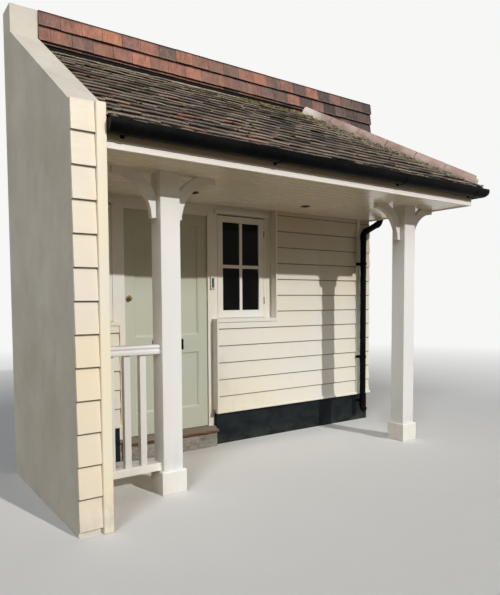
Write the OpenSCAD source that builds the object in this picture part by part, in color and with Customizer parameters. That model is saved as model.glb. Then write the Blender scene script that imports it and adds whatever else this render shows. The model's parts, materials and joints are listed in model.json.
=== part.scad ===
// Entrance porch of a weatherboarded cottage: a lean-to tiled canopy with a hipped end, carried
// by the house wall and by two square posts, over a front door set between two casement windows.
// Millimetres. Z is up, Y runs into the house and X runs along the front. Inside the modules X
// starts at the porch side of the side wall and Y at the face of the boards on the house wall.
// The origin of the finished model is the middle of its box, on the ground.

/* [Canopy] */
// Length of the eaves, from the side wall to the outer face of the end fascia
canopy_w = 3610; // [3200:10:4200]
// How far the front fascia stands out from the boards of the house wall
canopy_out = 1277; // [1150:1:1500]
// Height of the tile edge at the eaves above the soffit
eaves_rise = 163; // [150:1:200]
// Height of the tiles at the house wall above the tile edge
roof_rise = 858; // [700:1:1000]
// Length of the hipped end, measured along the house wall
hip_run = 1098; // [900:1:1300]
// How far the tiles reach past the fascia
tile_over = 64; // [45:1:80]
// Courses of plain tiles on each slope
roof_courses = 16; // [12:1:20]
// Step from one course of tiles to the next
tile_step = 16; // [10:1:20]
// Height of the upper end of a course above the slope
tile_head = 2; // [1:1:5]
// Depth of battens and boards under the tiles
roof_depth = 45; // [35:1:60]
// Depth of the tile edge that hangs over the gutter
edge_depth = 8; // [6:1:14]
// Thickness of the fascia boards
fascia_t = 22; // [18:1:30]
// How far the fascia hangs below the soffit
fascia_drop = 8; // [4:1:15]
// Thickness of the soffit boards
soffit_t = 18; // [14:1:24]
// Width of one soffit board
soffit_board = 100; // [80:1:140]
// Width and depth of the groove between soffit boards
soffit_groove = 5; // [3:1:8]
// Outside radius of the half round hip tiles
hip_r = 80; // [70:1:110]
// Thickness of the hip tiles
hip_t = 14; // [12:1:20]
// Length of a hip tile
hip_len = 298; // [250:1:330]
// Joint between two hip tiles
hip_joint = 5; // [3:1:10]
// Number of hip tiles
hip_count = 6; // [5:1:6]
// Height of the lower edge of the hip tiles above the front slope
hip_bed = 8; // [5:1:15]
// Distance from the house wall down the hip to the first hip tile
hip_lead = 60; // [40:1:100]

/* [Posts] */
// Side of the square posts
post_size = 150; // [120:1:180]
// Distance from the house wall to the front of the posts
post_out = 923; // [850:1:1000]
// Distance from the side wall to the first post
post_first = 530; // [450:1:650]
// Distance from the middle of the second post to the end of the canopy
post_end = 451; // [420:1:600]
// Height of the plinth boards round the foot of a post
foot_h = 168; // [140:1:220]
// Thickness of the plinth boards
foot_t = 21; // [16:1:30]
// Rounding along the top of the plinth boards
foot_round = 13; // [6:1:15]
// Reach of a curved brace from the post
brace_reach = 322; // [280:1:380]
// Depth of the curved band of a brace
brace_band = 75; // [50:1:90]
// Depth of a brace where it ends
brace_end = 43; // [30:1:50]
// Thickness of a brace
brace_t = 52; // [40:1:70]

/* [Balustrade] */
// Height of the top of the handrail
rail_top = 1063; // [900:1:1150]
// Height of the handrail's section
rail_h = 66; // [50:1:80]
// Width of the handrail
rail_w = 92; // [70:1:110]
// Gap between the plinth boards of the post and the bottom rail
low_rail_gap = 1; // [0:1:40]
// Height of the bottom rail's section
low_rail_h = 54; // [50:1:90]
// Width of the bottom rail
low_rail_w = 84; // [60:1:100]
// Side of the square balusters
baluster = 46; // [32:1:55]
// Spacing of the balusters
baluster_pitch = 116; // [95:1:150]
// Distance from the post to the centre of the nearest baluster
baluster_first = 125; // [80:1:160]

/* [House wall] */
// Height of the wall above the top of the roof
wall_rise = 277; // [200:1:400]
// Thickness of the wall behind its boards
wall_t = 210; // [150:1:300]
// Depth of the weatherboarding
board_t = 25; // [20:1:35]
// How far the face of each board leans back
board_lean = 13; // [8:1:16]
// Height of each board
board_gauge = 160; // [130:1:190]
// Height of the masonry plinth
plinth_h = 304; // [200:1:350]
// How far the plinth is set back behind the boards
plinth_back = 43; // [8:1:60]
// Height of the drip board on top of the plinth
drip_h = 26; // [20:1:40]
// How far the drip board stands out from the boards
drip_out = 18; // [10:1:25]
// Width of the corner boards at the edges of the recess
corner_w = 18; // [12:1:35]
// How far corner boards stand out from the boards
corner_out = 5; // [3:1:10]
// Distance from the upright cover board beside the downpipe to the end of the wall
cover_end = 210; // [190:1:300]
// Width of the upright cover board
cover_w = 45; // [35:1:70]
// Height of one course of hanging wall tiles
hanging_gauge = 112; // [95:1:125]
// Depth of the hanging tiles at the foot of a course
hanging_t = 30; // [22:1:40]
// How much thinner a course is at its head
hanging_lean = 20; // [10:1:21]
// Gap between the roof tiles and the hanging tiles
abutment_gap = 34; // [20:1:50]

/* [Side wall] */
// Thickness of the side wall, boards included
side_t = 200; // [150:1:300]
// Distance from the house wall to the front of the side wall
side_out = 1317; // [1290:1:1400]
// How far the side wall stands above the roof beside it
side_rise = 70; // [40:1:120]
// Width of the corner board at the front of the side wall
side_corner_w = 61; // [50:1:120]
// How far the corner board stands in front of the side wall's boards
side_corner_out = 14; // [5:1:20]
// Height of each board on the side wall
side_gauge = 190; // [150:1:210]
// Height of the lowest board on the side wall
side_board_z = 40; // [20:1:100]

/* [Door and windows] */
// Width of the door leaf
door_w = 838; // [762:1:914]
// Height of the door leaf
door_h = 1981; // [1960:1:2000]
// Thickness of the door leaf
door_t = 44; // [40:1:54]
// Distance from the side wall to the left casement
casement_first = 23; // [20:1:100]
// Height of the top of the threshold
sill_z = 178; // [150:1:185]
// Clearance round the door leaf
door_gap = 5; // [5:0.5:6]
// Height of the frame between the door and the soffit
head_h = 93; // [80:1:150]
// How far the frame stands behind the face of the boards
frame_back = 83; // [60:1:110]
// Thickness of the stop that the door closes against
stop_t = 12; // [8:1:20]
// Width of the stop beyond the clearance
stop_w = 7; // [5:1:15]
// Width of the frame posts between door and windows
frame_post = 96; // [70:1:110]
// Width of a casement
casement_w = 550; // [450:1:550]
// Height of the gaps above and below a casement
casement_gap = 8; // [5:1:12]
// Width of the gap at each side of a casement
casement_play = 3; // [2:1:5]
// Depth of the gaps round a casement
casement_rebate = 12; // [8:1:20]
// Height of the frame between a casement and the soffit
head_frame = 84; // [70:1:120]
// Thickness of a casement
casement_t = 45; // [38:1:50]
// Width of the stiles and the top rail of a casement
casement_stile = 62; // [45:1:75]
// Height of the bottom rail of a casement
casement_low = 70; // [50:1:90]
// Width of the glazing bars
bar_w = 31; // [18:1:34]
// Depth of the glazing bars
bar_t = 30; // [20:1:36]
// Thickness of the glass
glass_t = 6; // [4:1:8]
// Height of the underside of the window sills
window_sill_z = 1163; // [1100:1:1170]
// Thickness of the window sills
window_sill_t = 42; // [35:1:50]
// How far the window sills stand out from the boards
window_sill_out = 6; // [2:1:35]
// Slope of the top of the window sills
window_sill_fall = 3; // [1:1:20]
// Height of the moulding over a casement
hood_h = 40; // [20:1:50]
// How far the moulding over a casement stands out from the frame
hood_out = 32; // [20:1:45]
// Height of the outer edge of the moulding
hood_edge = 36; // [8:1:45]
// How far the moulding runs past the casement on each side
hood_side = 34; // [20:1:60]
// Return of the boarding beyond the door, on the window side
return_right = 39; // [20:1:60]
// Return of the boarding beyond the door, on the side wall's side
return_left = 62; // [20:1:80]
// How far the masonry is set back behind the edge of the boarding
masonry_back = 15; // [10:1:20]
// Width of the frame between the casement and the edge of the recess
jamb_w = 87; // [60:1:100]
// Distance of the groove in that frame from the casement
jamb_side = 32; // [20:1:50]
// Width and depth of the groove
jamb_groove = 4; // [3:1:6]
// How far drip boards run past the edge of the boarding
drip_side = 8; // [4:1:12]
// Distance of the glazing bars behind the face of the casement
bar_back = 6; // [3:1:7]
// Thickness of the threshold under the door
threshold_t = 38; // [30:1:60]
// How far the threshold falls towards its front edge
threshold_fall = 12; // [4:1:20]
// How far the threshold stands out from the boards
threshold_out = 47; // [25:1:90]
// How far its front part stops short of the edges of the boarding
threshold_side = 13; // [4:1:30]
// How far the step under the threshold stands out from the boards
step_out = 12; // [5:1:20]

/* [Door fittings] */
// Width of the door's stiles and muntin
door_stile = 98; // [90:1:120]
// Height of the top rail of the door
door_top_rail = 101; // [100:1:140]
// Height of the top of the lock rail above the foot of the door
lock_rail_top = 870; // [800:1:950]
// Height of the lock rail
lock_rail_h = 154; // [130:1:230]
// Height of the bottom rail of the door
door_low_rail = 197; // [180:1:250]
// Width of the moulding round a door panel
panel_mould = 16; // [10:1:24]
// Depth of the splayed moulding round a door panel at its foot
mould_depth = 8; // [3:1:10]
// Depth of a door panel
panel_depth = 12; // [8:1:15]
// Width of the letter plate
plate_w = 310; // [250:1:340]
// Height of the letter plate
plate_h = 98; // [70:1:110]
// Thickness of the letter plate
plate_t = 6; // [4:1:10]
// Width of the letter plate round its flap
flap_edge = 24; // [15:1:32]
// Height of the letter plate's centre above the foot of the door
plate_z = 788; // [770:1:810]
// Height of the latch pull above the foot of the door
pull_z = 1207; // [1150:1:1250]
// Radius of the rose behind the latch pull
pull_r = 27; // [20:1:34]
// Length of the latch pull
pull_len = 46; // [35:1:60]
// Radius of the hinge barrels
barrel_r = 7; // [6:0.5:8]
// Radius of the hinge pins
pin_r = 3; // [2.5:0.5:3.5]
// Running clearance round the hinge pins
pin_play = 0.08; // [0.05:0.01:0.1]
// Height of a hinge
hinge_h = 100; // [75:1:120]
// Thickness of a hinge plate
hinge_t = 2; // [1.5:0.1:2.2]
// Width of a hinge plate, out to the pin
hinge_w = 40; // [30:1:44]
// Distance of the outer hinges from the foot and the top of the door
hinge_end = 150; // [100:1:250]
// Radius of the knob of the latch pull
knob_r = 18; // [14:1:22]
// How far the flap of the letter plate stands out
flap_t = 3; // [2:1:5]
// Distance of the bell push to the left of the middle of its frame post
bell_side = 11; // [0:1:15]
// Width of the bell push
bell_w = 45; // [40:1:65]
// Height of the bell push
bell_h = 122; // [100:1:130]
// Thickness of the bell push
bell_t = 15; // [12:1:28]
// Width of the slot in the face of the bell push
bell_slot = 18; // [10:1:24]
// Depth of the slot
bell_sink = 3; // [2:1:6]
// Height of the centre of the bell push
bell_z = 1535; // [1450:1:1600]

/* [Rainwater] */
// Outside radius of the half round gutter
gutter_r = 56; // [50:1:60]
// Height of the straight sides of the gutter
gutter_side = 19; // [10:1:25]
// Thickness of the gutter
gutter_t = 4; // [3:1:5]
// Gap between the gutter and the fascia
gutter_gap = 3; // [2:1:6]
// Height of the rim of the gutter above the soffit
gutter_rim = 138; // [120:1:140]
// Radius of the bead along the rim of the gutter
gutter_bead = 4; // [3:0.5:5]
// Radius of the downpipe
pipe_r = 33; // [30:1:38]
// Distance from the downpipe to the end of the wall
pipe_end = 174; // [150:1:180]
// Gap between the downpipe and the cover board
pipe_gap = 24; // [15:1:35]
// Distance from the downpipe out to the gutter's outlet
outlet_out = 30; // [20:1:60]
// Radius of the bends of the downpipe, along its middle
pipe_bend = 52; // [45:1:80]
// How far the sockets of the downpipe stand out
pipe_socket = 4; // [3.5:0.5:6]
// Length of a socket of the downpipe
socket_h = 50; // [40:1:70]
// Distance of the upper bend of the swan neck below the soffit
neck_drop = 28; // [24:1:60]
// Fall of the slanting part of the swan neck below the gutter
neck_fall = 124; // [100:1:200]
// Length of the pipe between the swan neck and its first joint
neck_tail = 200; // [150:1:300]
// Height of the foot of the downpipe
pipe_foot = 150; // [120:1:200]
// Turn of the shoe at the foot of the downpipe
shoe_turn = 70; // [45:1:80]
// Heights of the downpipe clips
clip_z = [220, 716, 1754]; // [200:1:1900]
// Height of a downpipe clip
clip_h = 30; // [20:1:40]
// Places of the gutter brackets along the front, as parts of its length
bracket_x = [0.028, 0.343, 0.703, 0.981]; // [0.02:0.001:0.985]
// Places of the gutter brackets along the end, as parts of its length
bracket_y = [0.235, 0.845]; // [0.15:0.005:0.9]
// Width of a gutter bracket
bracket_w = 24; // [16:1:32]
// Thickness of a gutter bracket
bracket_t = 4; // [3:1:6]

/* [Lights] */
// Places of the downlights along the canopy, as parts of its length
light_x = [0.308, 0.646]; // [0.2:0.001:0.9]
// Distance of the downlights from the boards
light_out = 355; // [250:1:500]
// Radius of a downlight's rim
light_r = 46; // [38:1:55]
// Radius of the hole that a downlight fills
light_hole = 38; // [30:1:45]
// Height of a downlight's body above the soffit
light_h = 60; // [40:1:90]
// Thickness of a downlight's body
light_t = 6; // [3:1:8]

/* [Hidden] */
$fn = 48;
fit = 0.3;
deep = 40;
lap = 8;
wall_back = board_t + wall_t;
soffit_z = sill_z + 2 * door_gap + door_h + head_h;
eaves_z = soffit_z + eaves_rise;
eaves_y = -(canopy_out + tile_over);
eaves_x = canopy_w + tile_over;
roof_run = board_t - eaves_y;
hip_start = eaves_x - hip_run;
wall_h = eaves_z + roof_rise + wall_rise;
roof_pitch = atan2(roof_rise, roof_run);
hip_pitch = atan2(roof_rise, hip_run);
roof_slope = roof_rise / sin(roof_pitch);
hip_slope = roof_rise / sin(hip_pitch);
hip_plan = sqrt(roof_run * roof_run + hip_run * hip_run);
hip_turn = atan2(roof_run, hip_run);
hip_tilt = atan2(roof_rise, hip_plan);
roof_top_z = eaves_z + roof_rise;
low_rail_z = foot_h + low_rail_gap;
hip_lift = tile_step / cos(max(roof_pitch, hip_pitch)) + fit;
front_fall = roof_rise / roof_run * cos(hip_turn) * cos(hip_tilt);
end_fall = roof_rise / hip_run * sin(hip_turn) * cos(hip_tilt);
hip_sink = hip_r * front_fall - hip_bed;
hanging_y = board_t - hanging_t;
post_y = -post_out + post_size / 2;
post_mid = post_first + post_size / 2;
post_xs = [post_mid, canopy_w - post_end];
gutter_reach = gutter_gap + 2 * gutter_r + bracket_t;
gutter_mid = gutter_gap + gutter_r;
mitre = 2 * gutter_reach;
rim_z = soffit_z + gutter_rim;
gutter_axis_z = rim_z - gutter_side;
pipe_x = canopy_w - pipe_end;
pipe_y = -(corner_out + pipe_gap + pipe_r);
cover_x = canopy_w - cover_end;
outlet_x = canopy_w + gutter_mid;
outlet_y = pipe_y - outlet_out;
neck_reach = norm([outlet_x - pipe_x, outlet_out]);
neck_turn = atan2(outlet_out, pipe_x - outlet_x);
neck_lean = atan2(neck_reach, neck_fall);
door_x = casement_first + casement_w + frame_post + door_gap;
opening_x = door_x - door_gap;
opening_w = door_w + 2 * door_gap;
door_z = sill_z + door_gap;
door_y = frame_back + stop_t + door_gap;
door_mid = door_x + door_w / 2;
frame_d = stop_t + door_gap + door_t;
frame_head_z = door_z + door_h + door_gap;
left_post_x = opening_x - frame_post;
right_post_x = opening_x + opening_w;
left_edge = door_x - return_left;
right_edge = door_x + door_w + return_right;
casement_z = window_sill_z + window_sill_t;
casement_h = soffit_z - head_frame - casement_z;
hood_z = casement_z + casement_h + casement_gap;
pane_h = (casement_h - casement_low - casement_stile - bar_w) / 2;
casement_right = right_post_x + frame_post;
casement_left = left_post_x - casement_w;
jamb_x = casement_right + casement_w;
recess_x = jamb_x + jamb_w;
wall_x = recess_x + corner_w;
low_wall_x = casement_right;
lined_y = max(board_t, plinth_back);
sill_top = casement_z - casement_gap;
frame_end = frame_back + frame_d;
plinth_x = right_edge + masonry_back;
plinth_left = left_edge - masonry_back;
board_z = plinth_h + drip_h;
hinge_x = door_x + door_w + door_gap / 2;
hinge_y = door_y + door_t + barrel_r + 0.5;
hinge_zs = [door_z + hinge_end, door_z + (door_h - hinge_h) / 2,
    door_z + door_h - hinge_end - hinge_h];
mid_x = (canopy_w + gutter_reach - side_t) / 2;
mid_y = (wall_back - canopy_out - gutter_reach) / 2;

// Moves the layout so that the middle of the model's box is the origin
module placed() translate([-mid_x, -mid_y, 0]) children();

// A box given by its lowest and highest corners
module block(low, high) translate(low) cube(high - low);

// A profile drawn in Y and Z, run along X from x0 to x1
module along_x(x0, x1)
    translate([x0, 0, 0]) rotate([90, 0, 90]) linear_extrude(x1 - x0) children();

// A profile drawn in X and Z, run along Y from y0 to y1
module along_y(y0, y1)
    translate([0, y1, 0]) rotate([90, 0, 0]) linear_extrude(y1 - y0) children();

// Outline of lapped boards or tiles whose feet stand out, from z0 up to z1. The last one is cut
// to length, and it takes in what is left where that is less than a third of a board.
function lapped(z0, z1, gauge, foot, head, back) = let (last = ceil((z1 - z0) / gauge - 1.3))
    concat([for (k = [0 : last])
        let (low = z0 + k * gauge, high = k == last ? z1 : low + gauge,
            top = foot + (head - foot) * (high - low) / gauge)
        each [[foot, low], [top, high]]],
    [[back, z1], [back, z0]]);

// The doorway's floor in plan: it reaches out past the boards and fills the return of the plinth
function doorway(out, back) = [[left_edge + threshold_side, -out],
    [right_edge - threshold_side, -out], [right_edge - threshold_side, plinth_back],
    [plinth_x, plinth_back], [plinth_x, frame_back], [low_wall_x, frame_back], [low_wall_x, back],
    [left_post_x, back], [left_post_x, frame_back], [plinth_left, frame_back],
    [plinth_left, plinth_back], [left_edge + threshold_side, plinth_back]];

module plinth_wall() color("#1c2226") placed() {
    linear_extrude(plinth_h) polygon([[plinth_x, plinth_back], [canopy_w, plinth_back],
        [canopy_w, wall_back], [low_wall_x, wall_back], [low_wall_x, frame_back],
        [plinth_x, frame_back]]);
    linear_extrude(plinth_h) polygon([[0, plinth_back], [plinth_left, plinth_back],
        [plinth_left, frame_back], [left_post_x, frame_back], [left_post_x, wall_back],
        [0, wall_back]]);
    block([-board_t, lined_y, 0], [0, wall_back, plinth_h]);
}

module wall_right() color("#cfc8b8") placed()
    block([wall_x, board_t, plinth_h], [canopy_w, wall_back, soffit_z]);

module walls_under_windows() color("#cfc8b8") placed() {
    block([low_wall_x, board_t, plinth_h], [wall_x, wall_back, window_sill_z]);
    block([-board_t, board_t, plinth_h], [left_post_x, wall_back, window_sill_z]);
}

module wall_over_porch() color("#cfc8b8") placed()
    block([-board_t, board_t, soffit_z], [canopy_w, wall_back, wall_h]);

// Weatherboards up to z1, cut off along the top of the drip board
module board_outline(z1) intersection() {
    polygon(lapped(plinth_h, z1, board_gauge, 0, board_lean, board_t));
    translate([-1, board_z]) square([board_t + 2, wall_h]);
}

module weatherboards() color("#ece7d6") placed() {
    difference() {
        along_x(right_edge + corner_w, cover_x) board_outline(soffit_z);
        block([right_edge, -1, window_sill_z], [wall_x, board_t + 1, soffit_z + 1]);
    }
    along_x(cover_x + cover_w, canopy_w) board_outline(soffit_z);
    along_x(0, left_edge - corner_w) board_outline(window_sill_z);
}

module corner_boards() color("#f4f2ea") placed() {
    block([right_edge, -corner_out, board_z], [right_edge + corner_w, frame_back, window_sill_z]);
    block([left_edge - corner_w, -corner_out, board_z], [left_edge, frame_back, window_sill_z]);
    block([recess_x, -corner_out, window_sill_z], [wall_x, frame_back, soffit_z]);
    block([cover_x, -corner_out, board_z], [cover_x + cover_w, board_t, soffit_z]);
}

module drip_outline() polygon([[board_t, plinth_h], [-drip_out, plinth_h],
    [-drip_out, plinth_h + drip_h / 2], [-corner_out, board_z], [board_t, board_z]]);

module drip_boards() color("#f0ece0") placed() {
    along_x(right_edge - drip_side, canopy_w) drip_outline();
    along_x(0, left_edge + drip_side) drip_outline();
}

// Everything above the roof and the hip, seen against the house wall
module above_roof(lift) polygon([[0, roof_top_z + lift], [hip_start, roof_top_z + lift],
    [eaves_x, eaves_z + lift], [eaves_x, wall_h + 1], [0, wall_h + 1]]);

module hanging_tiles() color("#8a5348") placed() intersection() {
    along_x(0, canopy_w) polygon(lapped(wall_h - ceil(roof_rise / hanging_gauge + 3) * hanging_gauge,
        wall_h, hanging_gauge, hanging_y, hanging_y + hanging_lean, board_t));
    along_y(hanging_y - 1, board_t) above_roof(abutment_gap);
}

// Outline of the side wall, standing a little above the roof beside it
module side_outline() polygon([[wall_back, 0], [board_t - side_out, 0],
    [board_t - side_out, eaves_z + side_rise], [eaves_y + tile_over, eaves_z + side_rise],
    [board_t, roof_top_z + side_rise], [board_t, wall_h], [wall_back, wall_h]]);

module side_wall() color("#cfc8b8") placed() {
    along_x(-side_t, -board_t) side_outline();
    along_x(-board_t, 0) intersection() {
        side_outline();
        translate([side_corner_w - side_out, soffit_z])
            square([side_out - side_corner_w + board_t, wall_h]);
    }
}

// Boards on the porch side of the side wall, between two heights
module side_board_outline(low, high) intersection() {
    mirror([1, 0]) polygon(lapped(side_board_z, soffit_z, side_gauge, 0, board_lean, board_t));
    translate([-board_t, low]) square([board_t, high - low]);
}

module side_boards() color("#ece7d6") placed() {
    along_y(side_corner_w - side_out, board_t) side_board_outline(0, soffit_z);
    along_y(0, lined_y) side_board_outline(0, plinth_h);
    along_y(0, frame_back) side_board_outline(window_sill_z, soffit_z);
    translate([0, -side_out, 0]) along_x(-side_t, -side_corner_w)
        polygon(lapped(side_board_z, eaves_z + side_rise, side_gauge, 0, board_lean, board_t));
}

module side_corner_board() color("#f4f2ea") placed() linear_extrude(eaves_z + side_rise)
    polygon([[-side_corner_w, board_t - side_out], [-side_corner_w, -side_out - side_corner_out],
        [0, -side_out - side_corner_out], [0, side_corner_w - side_out],
        [-board_t, side_corner_w - side_out], [-board_t, board_t - side_out]]);

module step_block() color("#8d8a80") placed() linear_extrude(sill_z - threshold_t)
    polygon(doorway(step_out, wall_back));

module threshold() color("#7b6650") placed() intersection() {
    linear_extrude(sill_z) polygon(doorway(threshold_out, frame_end));
    along_x(0, canopy_w) polygon([[-threshold_out, sill_z - threshold_t],
        [-threshold_out, sill_z - threshold_fall], [frame_back, sill_z], [frame_end, sill_z],
        [frame_end, sill_z - threshold_t]]);
}

// A frame post with the stop that the door closes against
module stopped_post(x, side) {
    block([x, frame_back, sill_z], [x + frame_post, frame_end, soffit_z]);
    stop_x = side > 0 ? x + frame_post : x - door_gap - stop_w;
    block([stop_x, frame_back, sill_z],
        [stop_x + door_gap + stop_w, frame_back + stop_t, soffit_z]);
}

module frame_post_left() color("#f4f2ea") placed() stopped_post(left_post_x, 1);

module frame_post_right() color("#f4f2ea") placed() stopped_post(right_post_x, -1);

module window_jambs() color("#f4f2ea") placed() {
    difference() {
        block([jamb_x, frame_back, casement_z], [wall_x, frame_end, soffit_z]);
        block([jamb_x + jamb_side, frame_back - 1, casement_z - 1],
            [jamb_x + jamb_side + jamb_groove, frame_back + jamb_groove, soffit_z + 1]);
    }
    block([-board_t, frame_back, casement_z], [casement_left, frame_end, soffit_z]);
}

// The frame over a casement, with the gap above the casement sunk into its face
module casement_head(x) difference() {
    block([x, frame_back, casement_z + casement_h], [x + casement_w, frame_end, soffit_z]);
    block([x - 1, frame_back - 1, casement_z + casement_h - 1],
        [x + casement_w + 1, frame_back + casement_rebate, hood_z]);
}

module frame_head() color("#f4f2ea") placed() {
    block([opening_x + door_gap + stop_w, frame_back, frame_head_z - door_gap - stop_w],
        [opening_x + opening_w - door_gap - stop_w, frame_back + stop_t, soffit_z]);
    block([opening_x, frame_back + stop_t, frame_head_z],
        [opening_x + opening_w, frame_end, soffit_z]);
    casement_head(casement_right);
    casement_head(casement_left);
}

// Sill from x0 to x1, with the gap under the casement at x sunk into it
module window_sill(x0, x1, x) difference() {
    along_x(x0, x1) polygon([[-window_sill_out, window_sill_z],
        [-window_sill_out, sill_top - window_sill_fall], [frame_back, sill_top],
        [frame_back, casement_z], [frame_end, casement_z], [frame_end, window_sill_z]]);
    block([x, frame_back - 1, sill_top],
        [x + casement_w, frame_back + casement_rebate, casement_z + 1]);
}

module window_sills() color("#f4f2ea") placed() {
    difference() {
        window_sill(right_edge, wall_x, casement_right);
        block([right_edge - 1, frame_back, window_sill_z - 1],
            [casement_right, wall_back, casement_z + 1]);
        block([recess_x, -window_sill_out - 1, window_sill_z - 1],
            [wall_x + 1, frame_back, casement_z + 1]);
    }
    difference() {
        window_sill(-board_t, left_edge, casement_left);
        block([left_post_x, frame_back, window_sill_z - 1],
            [left_edge + 1, wall_back, casement_z + 1]);
        block([-board_t - 1, -window_sill_out - 1, window_sill_z - 1],
            [0, frame_back, casement_z + 1]);
    }
}

// A two by two casement: a rim of stiles and rails crossed by two glazing bars
module casement(x) {
    inner_w = casement_w - 2 * casement_stile;
    translate([x, frame_back, casement_z]) {
        difference() {
            cube([casement_w, casement_t, casement_h]);
            translate([casement_stile, -1, casement_low])
                cube([inner_w, casement_t + 2, 2 * pane_h + bar_w]);
            for (side_x = [-1, casement_w - casement_play]) translate([side_x, -1, -1])
                cube([casement_play + 1, casement_rebate + 1, casement_h + 2]);
        }
        translate([(casement_w - bar_w) / 2, bar_back, casement_low])
            cube([bar_w, bar_t, 2 * pane_h + bar_w]);
        translate([casement_stile, bar_back, casement_low + pane_h])
            cube([inner_w, bar_t, bar_w]);
    }
}

// The four panes of a casement, standing behind the middle of its bars
module panes(x) {
    pane_w = (casement_w - bar_w) / 2 - casement_stile;
    for (i = [0, 1], j = [0, 1])
        translate([x + casement_stile + i * (pane_w + bar_w),
            frame_back + bar_back + (bar_t - glass_t) / 2,
            casement_z + casement_low + j * (pane_h + bar_w)]) cube([pane_w, glass_t, pane_h]);
}

module casement_left() color("#f6f4ee") placed() casement(casement_left);

module casement_right() color("#f6f4ee") placed() casement(casement_right);

module window_glass() color("#2a3034") placed() {
    panes(casement_left);
    panes(casement_right);
}

module hood(x) along_x(x - hood_side, x + casement_w + hood_side)
    translate([frame_back, hood_z]) polygon([[0, 0], [-hood_out, 0], [-hood_out, hood_edge],
        [0, hood_h]]);

module window_hoods() color("#f4f2ea") placed() {
    hood(casement_right);
    intersection() {
        hood(casement_left);
        block([0, 0, 0], [left_post_x + frame_post, frame_back, soffit_z]);
    }
}

// Section of a splay that narrows from w as it sinks, its first millimetre outside the face
module splay(w) {
    run = panel_mould / mould_depth;
    polygon([[-w / 2 - run, -1], [w / 2 + run, -1], [w / 2 - panel_mould, mould_depth],
        [panel_mould - w / 2, mould_depth]]);
}

// A sinking for one door panel, cut from the face at y towards side: a splayed moulding on all
// four sides, and the flat panel below its foot
module sinking(x, z, w, h, y, side) translate([x + w / 2, y, z + h / 2])
    mirror([0, side > 0 ? 0 : 1, 0]) {
        intersection() {
            translate([0, 0, -h]) linear_extrude(2 * h) splay(w);
            translate([-w, 0, 0]) rotate([90, 0, 90]) linear_extrude(2 * w)
                mirror([1, -1]) splay(h);
        }
        translate([panel_mould - w / 2, mould_depth - 1, panel_mould - h / 2])
            cube([w - 2 * panel_mould, panel_depth - mould_depth + 1, h - 2 * panel_mould]);
    }

module door_leaf() color("#b9c4b4") placed() difference() {
    panel_w = (door_w - 3 * door_stile) / 2;
    top_h = door_h - door_top_rail - lock_rail_top;
    low_h = lock_rail_top - lock_rail_h - door_low_rail;
    translate([door_x, door_y, door_z]) cube([door_w, door_t, door_h]);
    for (i = [0, 1], side = [1, -1]) {
        x = door_x + door_stile + i * (panel_w + door_stile);
        y = side > 0 ? door_y : door_y + door_t;
        sinking(x, door_z + lock_rail_top, panel_w, top_h, y, side);
        sinking(x, door_z + door_low_rail, panel_w, low_h, y, side);
    }
}

module letter_plate() color("#16181a") placed()
    translate([door_mid - plate_w / 2, door_y - plate_t, door_z + plate_z - plate_h / 2]) {
        cube([plate_w, plate_t, plate_h]);
        translate([flap_edge, -flap_t, flap_edge])
            cube([plate_w - 2 * flap_edge, flap_t, plate_h - 2 * flap_edge]);
    }

module latch_pull() color("#3a342c") placed()
    translate([door_x + door_stile / 2, door_y, door_z + pull_z]) rotate([90, 0, 0]) {
        cylinder(r = pull_r, h = 5);
        cylinder(r = knob_r / 2, h = pull_len - knob_r);
        translate([0, 0, pull_len - knob_r]) sphere(r = knob_r);
    }

// One hinge half: a plate on the wood and its knuckles round the pin
module hinge_half(z, plate_x, levels) {
    block([plate_x, hinge_y - hinge_w, z], [plate_x + hinge_t, hinge_y - barrel_r - 0.2, z + hinge_h]);
    for (level = levels) {
        block([plate_x, hinge_y - barrel_r - 0.3, z + level[0]],
            [plate_x + hinge_t, hinge_y - pin_r - 1, z + level[1]]);
        translate([hinge_x, hinge_y, z + level[0]]) cylinder(r = barrel_r, h = level[1] - level[0]);
    }
}

module door_hinges() color("#9c8f70") placed() for (z = hinge_zs) difference() {
    hinge_half(z, door_x + door_w, [[hinge_h / 3 + 0.3, hinge_h * 2 / 3 - 0.3]]);
    translate([hinge_x, hinge_y, z]) cylinder(r = pin_r + pin_play, h = hinge_h);
}

module frame_hinges() color("#9c8f70") placed() for (z = hinge_zs) {
    hinge_half(z, right_post_x - hinge_t, [[0, hinge_h / 3], [hinge_h * 2 / 3, hinge_h]]);
    translate([hinge_x, hinge_y, z]) cylinder(r = pin_r, h = hinge_h);
}

module bell_push() color("#b8babb") placed()
    translate([right_post_x + frame_post / 2 - bell_side, frame_back - bell_t, bell_z])
        difference() {
            block([-bell_w / 2, 0, -bell_h / 2], [bell_w / 2, bell_t, bell_h / 2]);
            block([-bell_slot / 2, -1, -bell_h * 0.36], [bell_slot / 2, bell_sink, bell_h * 0.36]);
        }

module square_post(x) translate([x - post_size / 2, post_y - post_size / 2, 0])
    cube([post_size, post_size, soffit_z]);

module post_left() color("#f2f2f2") placed() square_post(post_xs[0]);

module post_right() color("#f2f2f2") placed() square_post(post_xs[1]);

// One plinth board, with its top edge rounded and its ends mitred
module foot_board() difference() {
    along_x(-post_size / 2 - foot_t, post_size / 2 + foot_t)
        translate([-post_size / 2 - foot_t, 0]) intersection() {
            square([foot_t, foot_h]);
            union() {
                square([foot_t, foot_h - foot_round]);
                translate([foot_round, 0]) square([foot_t, foot_h]);
                translate([foot_round, foot_h - foot_round]) circle(r = foot_round);
            }
        }
    for (side = [1, -1]) translate([side * (post_size / 2 + foot_t), -post_size / 2 - foot_t, -1])
        rotate([0, 0, side * 45]) translate([side > 0 ? 0 : -2 * deep, 0, 0])
            cube([2 * deep, 2 * deep, foot_h + 2]);
}

module post_feet() color("#f0efe9") placed() for (x = post_xs)
    translate([x, post_y, 0]) for (turn = [0 : 90 : 270]) rotate([0, 0, turn]) foot_board();

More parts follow.
